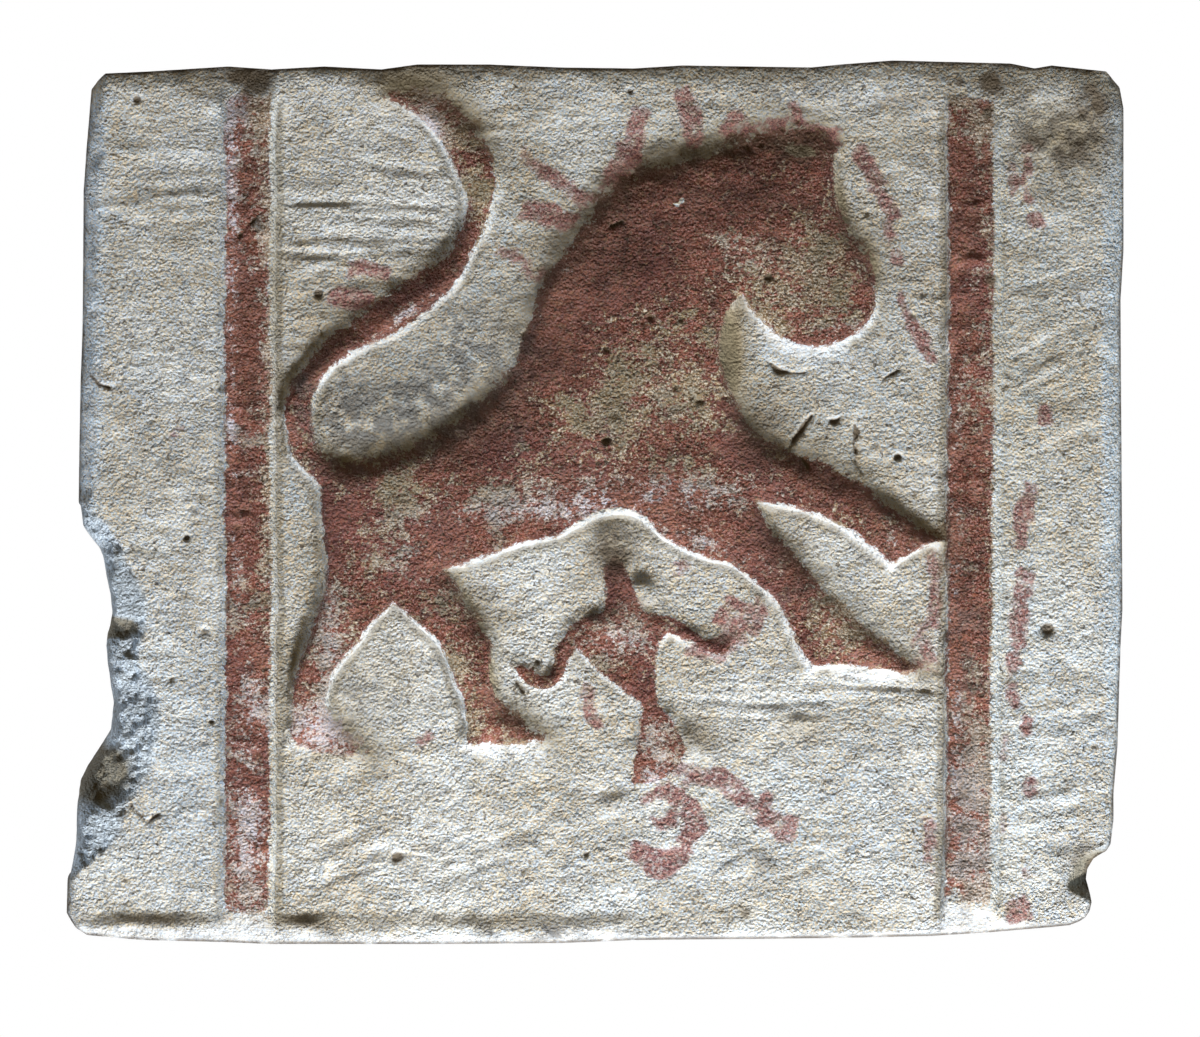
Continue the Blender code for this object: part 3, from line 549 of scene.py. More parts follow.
        (330, 360, 40, 12, 0.8, 40), (320, 540, 16, 60, 0.5), (850, 500, 60, 16, 0.5, -30),
        (972, 180, 20, 120, 0.4), (249, 330, 20, 90, 0.4), (770, 470, 50, 14, 0.5, -15),
        (609, 592, 16, 24, 0.6),
    ],
    "brown": [  # ovals of brown and olive stains, and painted shade on chips turned up, under overhangs of the break, along the neck and above the bottom edge
        (965, 850, 12, 50, 0.9), (962, 780, 10, 40, 0.7), (972, 720, 14, 30, 0.7), (1055, 140, 40, 30, 0.5),
        (155, 923, 60, 4, 0.35), (305, 925, 26, 5, 0.6), (458, 927, 60, 3, 0.35), (590, 927, 60, 3, 0.4),
        (1065, 135, 45, 40, 0.8), (993, 82, 10, 12, 1.2), (615, 551, 17, 22, 1.5), (890, 98, 60, 12, 0.6),
        (800, 153, 26, 13, 0.8, -8), (590, 206, 36, 12, 0.8, 40), (724, 352, 5, 38, 0.7, 4),
        (700, 156, 70, 10, 0.8, 12), (545, 268, 12, 40, 0.5, -25), (1094, 107, 16, 10, 1.1),
        (815, 262, 42, 44, 0.5), (96, 774, 34, 28, 1.3), (112, 628, 24, 10, 1.4), (248, 82, 24, 14, 1.5),
        (1086, 872, 20, 26, 1.6), (1094, 100, 18, 10, 0.8), (450, 70, 60, 6, 0.3), (560, 74, 50, 5, 0.3),
        (130, 74, 40, 5, 0.3), (700, 740, 26, 18, 0.6), (600, 616, 30, 8, 0.7), (640, 604, 20, 8, 0.5),
        (764, 425, 26, 30, 0.6), (480, 600, 14, 26, 0.3), (799, 560, 30, 30, 0.4, -45),
        (1022, 256, 8, 10, 0.5),
    ],
    "lightRoll": [  # ovals where the animal's upper edge is hardly darkened
        (830, 600, 110, 70, 0.7, -48), (860, 480, 110, 50, 0.55, -32), (390, 290, 100, 50, 0.6, 38),
        (300, 400, 30, 60, 0.6), (790, 150, 40, 30, 0.3), (480, 670, 30, 80, 0.6, 12),
    ],
    "dark": [  # ovals of nearly black dirt, and painted shade in the chipped hollows at the band tops and in the notch at the lower right
        (989, 81, 9, 9, 1.7), (960, 82, 5, 5, 1.0), (988, 112, 7, 8, 0.9), (990, 281, 8, 7, 0.9),
        (1090, 88, 8, 6, 0.9), (1098, 104, 7, 10, 1.2), (1035, 140, 9, 6, 0.6), (1075, 155, 12, 6, 0.5),
        (258, 82, 13, 15, 1.2), (238, 75, 14, 7, 1.0), (745, 914, 7, 8, 0.7), (614, 800, 6, 5, 0.5),
        (1092, 866, 8, 9, 0.8),
    ],
    "grey": [  # ovals of grey-black mottling
        (345, 398, 24, 18, 1.0), (412, 402, 26, 16, 1.0), (455, 335, 20, 26, 0.8), (1060, 135, 50, 34, 0.7),
        (972, 700, 16, 40, 0.5), (978, 840, 14, 40, 0.7), (970, 620, 16, 30, 0.6),
        (420, 400, 80, 36, 0.9, 25), (360, 430, 50, 30, 0.7), (490, 340, 34, 40, 0.5),
        (763, 862, 20, 14, 0.8), (355, 700, 26, 30, 0.5), (300, 385, 14, 30, 0.6), (550, 933, 26, 7, 1.4),
        (490, 931, 16, 5, 0.9), (328, 931, 12, 5, 0.9), (640, 933, 30, 4, 0.7), (380, 125, 60, 24, 0.15),
        (785, 92, 30, 12, 0.7), (800, 600, 40, 14, 0.4), (170, 420, 60, 50, 0.15), (1040, 300, 60, 80, 0.15),
        (96, 818, 26, 14, 0.4), (940, 880, 8, 60, 0.4), (614, 800, 9, 8, 1.8), (668, 402, 14, 14, 0.9),
        (520, 440, 16, 12, 0.6), (512, 505, 14, 16, 0.7), (605, 435, 12, 12, 0.6), (440, 610, 10, 12, 0.8),
    ],
}


def leftBreak(left, height):
    # the height that the broken left edge leaves, and how far down it each place is
    line = lineDown(slab["breakLine"], y) + lumps(5, y, 20, 9, 45) * 2.5
    share = np.clip((line - x) / np.maximum(line - left, 8.0), 0, 1.3)
    fall = slab["breakDrop"] * (0.14 * share + 0.86 * np.clip(share, 0, 1) ** 13)
    facets = grit(x, y, 30, 50, 4) * 1.3 * ease(0.02, 0.35, share)
    facets += (grit(x, y, 13, 54) + grit(x, y, 6, 55, 2) * 0.8) * ease(0, 0.1, share)
    ledge = ease(630, 614, y + (x - 100) * 0.2) * ease(560, 600, y) * ease(0, 0.25, share)
    forms = slab["breakLedge"] * ledge + ovals(slab["breakForms"]) * ease(0.05, 0.4, share)
    upper, low = slab["breakLine"][0][1], slab["breakLine"][-1][1]
    broken = (x < line) & (y > upper - 1) & (y < low + 1)
    left = np.minimum(height - fall + facets + forms, height)
    return np.where(broken, left, height), np.where(broken, share, 0.0)


def wornEdges():
    # heights that the worn slopes round the face allow
    left, right = lineDown(slab["left"], y), lineDown(slab["right"], y)
    top, bottom = lineAcross(slab["top"], x), lineAcross(slab["bottom"], x)
    wander = lumps(x, y, 26, 26, 60) * 2.4 + lumps(x, y, 10, 10, 61) * 1.2
    allowed, nearest = np.full(x.shape, 99.0), np.full(x.shape, 99.0)
    for drop, (away, run) in zip(slab["wornDrops"], (
        (x - left, lineDown(slab["faceLeft"], y) - left),
        (right - x, right - lineDown(slab["faceRight"], y)),
        (y - top, lineAcross(slab["faceTop"], x) - top),
        (bottom - y, bottom - lineAcross(slab["faceBottom"], x)),
    )):
        nearest = np.minimum(nearest, away)
        share = (away + wander * ease(0, 12, away)) / np.maximum(run, 5)
        lip = 1.6 * np.clip(1 - share * 3, 0, 1) ** 2  # the slope turns steeper at the silhouette
        allowed = np.minimum(allowed, drop * (share - 1) - lip * min(drop / 5, 1))
    return allowed, left, nearest


def lower(a, b, blend):
    # the lower of two heights, with the meeting rounded over
    share = np.clip(0.5 + (b - a) / (2 * blend), 0, 1)
    return b * (1 - share) + a * share - blend * share * (1 - share)


def shapeSheet():
    # the whole face on the sheet: its height, and what the finish needs to know of it
    base = -ground["dish"] * ease(0, ground["rimRun"], y - slabTop - 18) + ovals(ground["swells"])
    lowRim = ease(ground["lowRun"], 1, slabBottom - 16 - y + lumps(x, y, 24, 24, 8) * 3) * ground["lowRim"]
    lowRim *= np.clip(ovals(ground["rimRises"]) + lumps(x, 0, 34, 34, 9) * 0.25, 0, 1.2)
    base += lowRim - ground["lean"] * ease(420, 880, y)
    base += lumps(x, y, 95, 80, 3) * 0.3 + lumps(x, y, 36, 30, 4) * 0.22
    for place, angle, long, thin in ground["streaks"]:
        base += ovals([place]) * dragged(x, y, long, thin, angle, 20 + abs(angle)) * 0.95
    base += dragged(x, y, 80, 10, 1, 7) * 0.18 + grit(x, y, 30, 10) * 0.26
    crumbly = ease(-0.5, 0.4, lumps(x, y, 40, 30, 17)) + ovals(ground["crumbly"])
    base += grit(x, y, 12, 11) * (0.12 + 0.2 * crumbly)
    for name, (low, high) in bands["marginRuns"].items():
        beside = (x < bands[name][0][0]) if low < high else (x > bands[name][0][0])
        base += bands["marginRise"] * ease(low, high, x) * beside

    shiftX, shiftY = (lumps(x, y, 21, 21, 72 + n) * 1.1 + lumps(x, y, 7, 7, 74 + n) * 0.35 for n in (0, 1))
    beast, beastTop, facing = raised(rounded(animal["outline"], animal["corners"]), animal, shiftX, shiftY)
    beast *= 1 - np.clip(ovals(animal["fades"]), 0, 0.85)
    # painted shade with olive dirt where the animal's upper edge rolls in, turned away from the low lamp
    rollInShadeAndDirt = ease(-44, -3, beastTop) * ease(36, -2, beastTop) * blurred(ease(0.1, 0.75, facing), 7)
    rollInShadeAndDirt *= 1 - np.clip(ovals(paint["lightRoll"]), 0, 0.8)
    skin = grit(x, y, 16, 80) * 0.32 + grit(x, y, 6, 82, 2) * 0.2
    dome = animal["dome"] * (1 - np.exp(-np.clip(beastTop, 0, 200) / animal["domeRun"]))
    height = base + (animal["height"] + dome + ovals(animal["swells"]) + skin - base) * beast
    small, smallTop, _ = raised(rounded(creature["outline"], creature["corners"]), creature, shiftX, shiftY)
    small *= ease(*creature["sinks"], y)
    height += small * (creature["height"] + skin * 0.7) * (1 - beast)

    wander = lumps(40, y, 30, 46, 31) * 1.6 + lumps(9, y, 30, 15, 32) * 0.8
    bandTop = np.full(x.shape, -60.0)
    for name in ("leftMiddle", "rightMiddle"):
        aside = x - lineDown(bands[name], y)
        outwards = -aside if name == "leftMiddle" else aside
        inside = bands["half"] - np.abs(aside - wander) + shiftX * 0.5
        share = ease(-3.2 - 4.0 * ease(-5, 5, outwards), 2.4, inside)
        share *= 0.88 + 0.12 * np.sin(np.clip(inside / 10, 0, 1) * math.pi / 2)
        bandHeight = bands["height"] + ovals(bands["ledges"]) + skin * 1.4
        height = np.maximum(height, base + (bandHeight - base) * share)
        upper, low = bands["paintEnds"][name]
        toEnds = np.minimum((y - upper) * 0.6, (low - y) * 0.3) + lumps(x, y, 9, 9, 33) * 2
        bandTop = np.maximum(bandTop, np.minimum(inside - 4 * ease(-12, 16, aside), toEnds))

    pitted = np.zeros(x.shape)
    for cx, cy, radius, deep in marks["pits"]:
        near = around(cx, cy, cx, cy, 14)
        away = np.hypot(x[near] - cx, (y[near] - cy) * 1.2) + shiftX[near]
        height[near] -= deep * ease(radius * 1.25, radius * 0.4, away)
        pitted[near] = np.maximum(pitted[near], ease(radius, radius * 0.4, away) * ease(0.7, 1.2, deep))
    height += ovals(marks["bumps"])
    cracks = ease(-1.2, 1.6, strokes(marks["cracks"]) + lumps(x, y, 6, 6, 90) * 1.3 - 0.2)
    height -= cracks * (marks["crackDepth"] + lumps(x, y, 20, 20, 91) * 0.4)
    height -= ease(-2.5, 1.5, strokes(marks["furrows"]) + lumps(x, y, 9, 9, 92)) * marks["furrowDepth"]
    chance = np.random.default_rng(77)
    for _ in range(marks["specks"]):
        cx, cy = chance.uniform(90, 1100), chance.uniform(85, 925)
        radius, deep = chance.uniform(1.6, 4.0), chance.uniform(-0.7, 0.9)
        near = around(cx, cy, cx, cy, 8)
        height[near] -= deep * ease(radius * 1.5, radius * 0.3, np.hypot(x[near] - cx, y[near] - cy))

    allowed, left, toSilhouette = wornEdges()
    worn = ease(0.9, -0.6, allowed - height)
    height = lower(height, allowed, 0.9)
    height += worn * grit(x, y, 11, 63) * 0.3
    height, breakShare = leftBreak(left, height)
    chip, chipIn, _ = raised(rounded(slab["chip"]), slab["chipWalls"], 0, 0)
    chipTop = -slab["chipDrop"] * chip - grit(x, y, 16, 95) * 1.3 * ease(0, 6, chipIn)
    height = np.where(chipIn > -2, np.minimum(height, chipTop), height)
    bare = ovals(paint["bare"]) * 16
    return {
        "height": height, "beastWall": ease(0.02, 0.2, beast) * ease(0.98, 0.8, beast), "rollInShadeAndDirt": rollInShadeAndDirt,
        "beastTop": beastTop - bare, "smallTop": smallTop - bare, "bandTop": bandTop,
        "worn": worn, "breakShare": breakShare, "chip": ease(0, 5, chipIn), "cracks": cracks,
        "pitted": pitted, "rim": ease(3.8, 1.2, toSilhouette),
    }


def read(sheet, px, py):
    # a sheet's value at any places
    cx = np.clip((px - sheetX[0]) / sheetGap, 0, len(sheetX) - 1.001)
    cy = np.clip((py - sheetY[0]) / sheetGap, 0, len(sheetY) - 1.001)
    ix, iy = cx.astype(int), cy.astype(int)
    fx, fy = cx - ix, cy - iy
    upper = sheet[iy, ix] * (1 - fx) + sheet[iy, ix + 1] * fx
    lowerRow = sheet[iy + 1, ix] * (1 - fx) + sheet[iy + 1, ix + 1] * fx
    return upper * (1 - fy) + lowerRow * fy


shape = shapeSheet()
print("face worked out on", x.shape, "places")


# The mesh: a fine grid fitted to the silhouette, its rim drawn back to the wall side and closed there,
# then thinned out where it is smooth

meshPlan = {
    "columns": 560,
    "rows": 468,
    "fit": 116,  # steps over which the grid bends to meet the silhouette
    "flank": [0.04, 0.1, 0.2, 0.32, 0.46, 0.6, 0.74, 0.87, 0.95, 1.0],  # shares of the way to the back
    "backEdge": 0.0025,
    "backGrid": (84, 70),
    "backInset": 0.965,
    "atFirst": 0.4,  # the grids' size, and how far each flank row is drawn, before their vertices are placed
    "rowAtFirst": 0.004,
    "triangles": 190000,
    "sharpAngle": 48,
}


def fittedGrid(columnCount, rowCount):
    # grid places from the bottom row up, bent so that the rim runs along the silhouette
    columns = np.linspace(slabLeft, slabRight, columnCount)
    rows = np.linspace(slabBottom, slabTop, rowCount)
    gx, gy = np.meshgrid(columns, rows)
    topLeft, topRight = slab["top"][0], slab["top"][-1]
    lowLeft, lowRight = slab["bottom"][0], slab["bottom"][-1]
    across = (columns - slabLeft) / (slabRight - slabLeft)
    up = (slabBottom - rows) / (slabBottom - slabTop)
    rim = {}
    rim["topX"] = topLeft[0] + (topRight[0] - topLeft[0]) * across
    rim["topY"] = lineAcross(slab["top"], rim["topX"])
    rim["lowX"] = lowLeft[0] + (lowRight[0] - lowLeft[0]) * across
    rim["lowY"] = lineAcross(slab["bottom"], rim["lowX"])
    rim["leftY"] = lowLeft[1] + (topLeft[1] - lowLeft[1]) * up
    rim["leftX"] = lineDown(slab["left"], rim["leftY"])
    rim["rightY"] = lowRight[1] + (topRight[1] - lowRight[1]) * up
    rim["rightX"] = lineDown(slab["right"], rim["rightY"])
    nearLeft = np.clip(1 - (gx - slabLeft) / meshPlan["fit"], 0, 1)
    nearRight = np.clip(1 - (slabRight - gx) / meshPlan["fit"], 0, 1)
    nearTop = np.clip(1 - (gy - slabTop) / meshPlan["fit"], 0, 1)
    nearLow = np.clip(1 - (slabBottom - gy) / meshPlan["fit"], 0, 1)
    moveX = (rim["leftX"] - slabLeft)[:, None] * nearLeft + (rim["rightX"] - slabRight)[:, None] * nearRight
    moveY = (rim["topY"] - slabTop)[None, :] * nearTop + (rim["lowY"] - slabBottom)[None, :] * nearLow
    moveX += ((rim["topX"] - columns)[None, :] - moveX[-1:, :]) * nearTop ** 3
    moveX += ((rim["lowX"] - columns)[None, :] - moveX[:1, :]) * nearLow ** 3
    moveY += ((rim["leftY"] - rows)[:, None] - moveY[:, :1]) * nearLeft ** 3
    moveY += ((rim["rightY"] - rows)[:, None] - moveY[:, -1:]) * nearRight ** 3
    gx, gy = gx + moveX, gy + moveY
    gx[:, 0], gx[:, -1], gy[:, 0], gy[:, -1] = rim["leftX"], rim["rightX"], rim["leftY"], rim["rightY"]
    gx[0], gx[-1], gy[0], gy[-1] = rim["lowX"], rim["topX"], rim["lowY"], rim["topY"]
    return gx.ravel(), gy.ravel()


def rimOrder(columnCount, rowCount):
    # the rim's vertices one after another, and the place of each in a row that is extruded from them
    last = (rowCount - 1) * columnCount
    loop = list(range(columnCount))
    loop += [r * columnCount + columnCount - 1 for r in range(1, rowCount)]
    loop += [last + c for c in range(columnCount - 2, -1, -1)]
    loop += [r * columnCount for r in range(rowCount - 2, 0, -1)]
    return np.array(loop), np.argsort(np.argsort(loop))


def flankPlaces(outer):
    # the places of the flank's rows, behind the rim: rough, bellied a little and tucked in at the back
    px, py = outer[:, 0] / step + middleX, middleY - outer[:, 2] / step
    before, after = np.roll(outer, 6, 0), np.roll(outer, -6, 0)
    inwards = np.stack([-(after - before)[:, 2], (after - before)[:, 0]], 1)
    inwards /= np.linalg.norm(inwards, axis=1)[:, None]
    placed = []
    for share in meshPlan["flank"]:
        depth = outer[:, 1] * (1 - share)
        back = depth / step
        rough = lumps(px + py, back + 400, 26, 22, 110) * 0.0006
        rough += lumps(px - py, back + 200, 9, 9, 111) * 0.0003
        rough += lumps(px * 1.1 + py * 0.9, back * 0.6 + 30, 70, 60, 112) * 0.0007 + 0.0009
        move = rough * min(1.0, share * 8) * (0.4 if share == 1 else 1.0)
        move = move + meshPlan["backEdge"] * max(0.0, (share - 0.93) / 0.07)
        moved = outer[:, [0, 2]] + inwards * move[:, None]
        placed.append(np.stack([moved[:, 0], depth, moved[:, 1]], 1))
    return placed


def uprightGrid(columnCount, rowCount):
    bpy.ops.object.select_all(action="DESELECT")
    bpy.ops.mesh.primitive_grid_add(
        x_subdivisions=columnCount - 1, y_subdivisions=rowCount - 1, size=meshPlan["atFirst"],
        rotation=(math.radians(90), 0, 0),
    )
    bpy.ops.object.transform_apply(location=True, rotation=True, scale=True)
    return bpy.context.object


def buildPlaque():
    columnCount, rowCount = meshPlan["columns"], meshPlan["rows"]
    piece = uprightGrid(columnCount, rowCount)
    piece.name = "relief_plaque_shaped"
    bpy.ops.object.mode_set(mode="EDIT")
    bpy.ops.mesh.select_mode(type="EDGE")
    bpy.ops.mesh.select_all(action="SELECT")
    bpy.ops.mesh.region_to_loop()
    for _ in meshPlan["flank"]:
        bpy.ops.mesh.extrude_region_move(TRANSFORM_OT_translate={"value": (0, meshPlan["rowAtFirst"], 0)})
    bpy.ops.object.mode_set(mode="OBJECT")

    faceX, faceY = fittedGrid(columnCount, rowCount)
    faceCount = len(faceX)
    coords = np.zeros(len(piece.data.vertices) * 3)
    piece.data.vertices.foreach_get("co", coords)
    coords = coords.reshape(-1, 3)
    coords[:faceCount, 0] = (faceX - middleX) * step
    coords[:faceCount, 1] = groundY - read(shape["height"], faceX, faceY) * 0.001
    coords[:faceCount, 2] = (middleY - faceY) * step
    loop, place = rimOrder(columnCount, rowCount)
    for number, row in enumerate(flankPlaces(coords[loop])):
        coords[faceCount + number * len(loop) + place] = row
    piece.data.vertices.foreach_set("co", coords.ravel())

    # the back: a coarser grid inside the flank's last row, joined to it by a bridge of faces
    back = uprightGrid(*meshPlan["backGrid"])
    bx, by = fittedGrid(*meshPlan["backGrid"])
    uneven = (lumps(bx, by, 120, 90, 120) + 1) * 0.00016 + (dragged(bx, by, 160, 26, 8, 121) + 1) * 0.0001
    backCoords = np.stack([
        (bx - middleX) * step * meshPlan["backInset"], -uneven, (middleY - by) * step * meshPlan["backInset"],
    ], 1)
    back.data.vertices.foreach_set("co", backCoords.ravel())
    piece.select_set(True)
    bpy.context.view_layer.objects.active = piece
    bpy.ops.object.join()
    bpy.ops.object.mode_set(mode="EDIT")
    bpy.ops.mesh.select_all(action="DESELECT")
    bpy.ops.mesh.select_non_manifold(
        extend=False, use_boundary=True, use_wire=False, use_multi_face=False, use_non_contiguous=False,
        use_verts=False,
    )
    bpy.ops.mesh.bridge_edge_loops()
    bpy.ops.mesh.select_all(action="SELECT")
    bpy.ops.mesh.normals_make_consistent(inside=False)
    bpy.ops.object.mode_set(mode="OBJECT")
    print("plaque closed:", len(piece.data.polygons), "faces")

    triangles = sum(len(p.vertices) - 2 for p in piece.data.polygons)
    thinning = piece.modifiers.new("thinning", "DECIMATE")
    thinning.ratio = meshPlan["triangles"] / triangles
    bpy.ops.object.modifier_apply(modifier=thinning.name)
    bpy.ops.object.shade_smooth_by_angle(angle=math.radians(meshPlan["sharpAngle"]))
    print("plaque thinned to", len(piece.data.polygons), "faces")
    return piece


plaque = buildPlaque()


# The finish: worked out point by point on the finished mesh

firedClay = {
    "creamLight": (0.64, 0.635, 0.605, 1),
    "creamDark": (0.51, 0.475, 0.41, 1),
    "creamDullAndShade": (0.285, 0.26, 0.205, 1),
    "creamCool": (0.52, 0.59, 0.66, 1),
    "fleckWarm": (0.68, 0.50, 0.28, 1),
    "fleckCool": (0.34, 0.52, 0.78, 1),
    "highlightWhite": (0.70, 0.73, 0.79, 1),
    "breakPale": (0.66, 0.74, 0.83, 1),
    "breakGrey": (0.42, 0.46, 0.50, 1),
    "creviceShade": (0.27, 0.21, 0.14, 1),
    "slate": (0.22, 0.25, 0.27, 1),
    "pitDark": (0.12, 0.09, 0.06, 1),
    "tan": (0.33, 0.27, 0.18, 1),
    "olive": (0.19, 0.155, 0.095, 1),
    "umber": (0.075, 0.052, 0.034, 1),
    "charcoal": (0.13, 0.125, 0.12, 1),
    "redDeep": (0.070, 0.029, 0.021, 1),
    "redMid": (0.178, 0.055, 0.037, 1),
    "redPale": (0.38, 0.175, 0.13, 1),
    "redPurple": (0.15, 0.054, 0.050, 1),
    "strokeRed": (0.15, 0.055, 0.066, 1),
    "wornCream": (0.57, 0.455, 0.325, 1),
    "wornTan": (0.22, 0.155, 0.095, 1),
    "lilac": (0.62, 0.56, 0.60, 1),
    "roughness": 0.93,
    "specular": 0.25,
    "grainDepth": 0.0030,
    "onFlank": {"broken": 0.12, "dulledAndShaded": 0.55, "tanned": 0.25},  # how the sides and the back are finished
}


def finishValues(piece):
    # what the clay's finish reads at each vertex
    coords = np.zeros(len(piece.data.vertices) * 3)
    piece.data.vertices.foreach_get("co", coords)
    coords = coords.reshape(-1, 3)
    px, py = coords[:, 0] / step + middleX, middleY - coords[:, 2] / step
    height = read(shape["height"], px, py)
    behind = ease(0.6, 2.6, (coords[:, 1] - groundY) * 1000 + height)
    atBack = ease(-0.006, -0.001, coords[:, 1])
    smooth = blurred(shape["height"], 2)
    painted = np.maximum(shape["beastTop"], np.maximum(shape["smallTop"], shape["bandTop"]))
    brushed = np.zeros_like(x)
    for strength, line in paint["brushed"]:
        within = strokes([line], blunt=True) + lumps(x, y, 12, 12, 130) * 2.4 + 2.5
        brushed = np.maximum(brushed, strength * ease(-3.5, 3.5, within))
    rowGap = sheetGap * step * 1000
    leaning = np.gradient(smooth, axis=0) / rowGap  # over 0 where the face looks up, under 0 where down
    toFace = np.minimum(x - lineDown(slab["faceLeft"], y), lineDown(slab["faceRight"], y) - x)
    # the worn side strips, tinted with painted cool light from the side lamps
    strip = ease(2.5, -2.5, toFace + lumps(x, y, 14, 18, 61) * 3) * ease(90, 104, y) * ease(800, 640, y)
    belowTop = y - lineAcross(slab["faceTop"], x) + lumps(x, y, 34, 20, 62) * 5 + lumps(x, y, 9, 9, 63) * 2
    # painted shade: the top chamfer faces up, away from the low lamp
    topStrip = ease(3.5, -3.5, belowTop)
    wear = ovals(paint["worn"]) + shape["worn"] * 0.7
    # brown stains, with painted shade in the cracks and at the shaded spots in the list
    brown = ovals(paint["brown"]) + shape["worn"] * 0.15 + shape["cracks"] * 0.6
    values = {
        "redPaint": np.clip((painted + 7 * shape["rollInShadeAndDirt"]) / (8 + 7 * shape["rollInShadeAndDirt"]), -1, 1),
        "brushed": brushed,
        "wear": np.clip(wear, 0, 1),
        "deepRed": np.clip(ovals(paint["deep"]), 0, 1),
        "brownStainAndShade": np.clip(brown, 0, 1),
        "greyStain": np.clip(ovals(paint["grey"]), 0, 1),
        "rollInShadeAndDirt": shape["rollInShadeAndDirt"],
        # tan clay, with painted shade on walls and slopes turned from the low lamp
        "tanned": np.clip(ovals(paint["tan"]), 0, 2),
        "dulledAndShaded": np.clip(ovals(paint["dullAndShade"]) + topStrip * 0.8, 0, 1),
        "coolLightTint": np.clip(ovals(paint["cool"]) + strip, 0, 1),
        "paleFlecksAndHighlight": np.clip(ovals(paint["pale"]), 0, 1),
        # darker in a thin line along the silhouette
        "rimDarkening": shape["rim"],
        # painted shade in the cracks and pits, with the dark ovals
        "darkened": np.clip(np.maximum(shape["cracks"], shape["pitted"]) + ovals(paint["dark"]), 0, 1),
        "broken": np.clip(ease(0.0, 0.12, shape["breakShare"]) + shape["chip"], 0, 1),
        # painted shade: olive darkening in the hollows of the face
        "hollowShade": np.clip((blurred(smooth, 5) - smooth) * 1.1, -1, 1),
        # painted highlight: faces turned down towards the low lamp are whitened
        "facesDownHighlight": np.clip(-leaning * 1.6 - 0.1, 0, 1),
        # painted shade with olive dust on faces turned up, away from the low lamp
        "facesUpShadeAndDust": np.clip(leaning * 1.6 - 0.1, 0, 1),
        "grain": np.clip(
            1.05 - 0.75 * shape["rollInShadeAndDirt"] - 0.3 * shape["beastWall"] + 0.25 * (painted > 0)
            + 1.2 * ease(0.0, 0.12, shape["breakShare"]) - 0.3 * np.clip(ovals(paint["dullAndShade"]), 0, 1), 0.2, 2.2,
        ),
    }
    onFlank = firedClay["onFlank"]
    kept = {"broken": 1 - atBack, "brownStainAndShade": 1 - 0.7 * behind, "grain": 1}
    for name, sheet in values.items():
        value = read(sheet, px, py) * kept.get(name, 1 - behind)
        if name == "redPaint":
            value -= behind
        elif name in onFlank:
            value = np.maximum(value, behind * onFlank[name])
        attribute = piece.data.attributes.new(name, "FLOAT", "POINT")
        attribute.data.foreach_set("value", value)


class Finish:
    # builds a material's nodes from left to right
    def __init__(self, name):
        self.material = bpy.data.materials.new(name)
        self.material.use_nodes = True
        self.nodes = self.material.node_tree.nodes
        self.links = self.material.node_tree.links
        self.shader = self.nodes["Principled BSDF"]
        self.coords = self.nodes.new("ShaderNodeTexCoord").outputs["Object"]

    def feed(self, socket, value):
        # a number, a link, or the name of one of the clay's colours or of a value worked out on the mesh
        if isinstance(value, str):
            value = firedClay[value] if value in firedClay else self.attribute(value)
        if isinstance(value, (int, float, tuple)):
            socket.default_value = value
        else:
            self.links.new(value, socket)

    def attribute(self, name):
        node = self.nodes.new("ShaderNodeAttribute")
        node.attribute_name = name
        return node.outputs["Fac"]

    def pattern(self, kind, scale, shift, stretch=(1, 1, 1), turn=0):
        # a texture over the piece, turned about the face's normal, then stretched
        mapping = self.nodes.new("ShaderNodeMapping")
        mapping.vector_type = "TEXTURE"
        mapping.inputs["Scale"].default_value = stretch
        mapping.inputs["Location"].default_value = shift
        mapping.inputs["Rotation"].default_value = (0, math.radians(turn), 0)
        self.links.new(self.coords, mapping.inputs["Vector"])
        node = self.nodes.new(kind)
        node.inputs["Scale"].default_value = scale
        self.links.new(mapping.outputs["Vector"], node.inputs["Vector"])
        return node

    def noise(self, scale, detail, rough, shift=(0, 0, 0), **lie):
        node = self.pattern("ShaderNodeTexNoise", scale, shift, **lie)
        node.inputs["Detail"].default_value = detail
        node.inputs["Roughness"].default_value = rough
        return node.outputs["Fac"]

    def granules(self, scale, shift=(0, 0, 0)):
        # distance from the middle of the nearest grain
        return self.pattern("ShaderNodeTexVoronoi", scale, shift).outputs["Distance"]

    def ramp(self, value, low, high, toLow=0.0, toHigh=1.0):
        node = self.nodes.new("ShaderNodeMapRange")
        node.interpolation_type = "SMOOTHSTEP"
        self.feed(node.inputs["Value"], value)
        node.inputs["From Min"].default_value = low
        node.inputs["From Max"].default_value = high
        node.inputs["To Min"].default_value = toLow
        node.inputs["To Max"].default_value = toHigh
        return node.outputs["Result"]

    def sum(self, operation, a, b):
        node = self.nodes.new("ShaderNodeMath")
        node.operation = operation
        self.feed(node.inputs[0], a)
        self.feed(node.inputs[1], b)
        return node.outputs["Value"]

    def plus(self, a, b):
        return self.sum("ADD", a, b)

    def less(self, a, b):
        return self.sum("SUBTRACT", a, b)

    def times(self, a, b):
        return self.sum("MULTIPLY", a, b)

    def mix(self, share, a, b, blend="MIX"):
        node = self.nodes.new("ShaderNodeMix")
        node.data_type = "RGBA"
        node.blend_type = blend
        self.feed(node.inputs[0], share)
        self.feed(node.inputs[6], a)  # the two colours of a colour mix
        self.feed(node.inputs[7], b)
        return node.outputs[2]


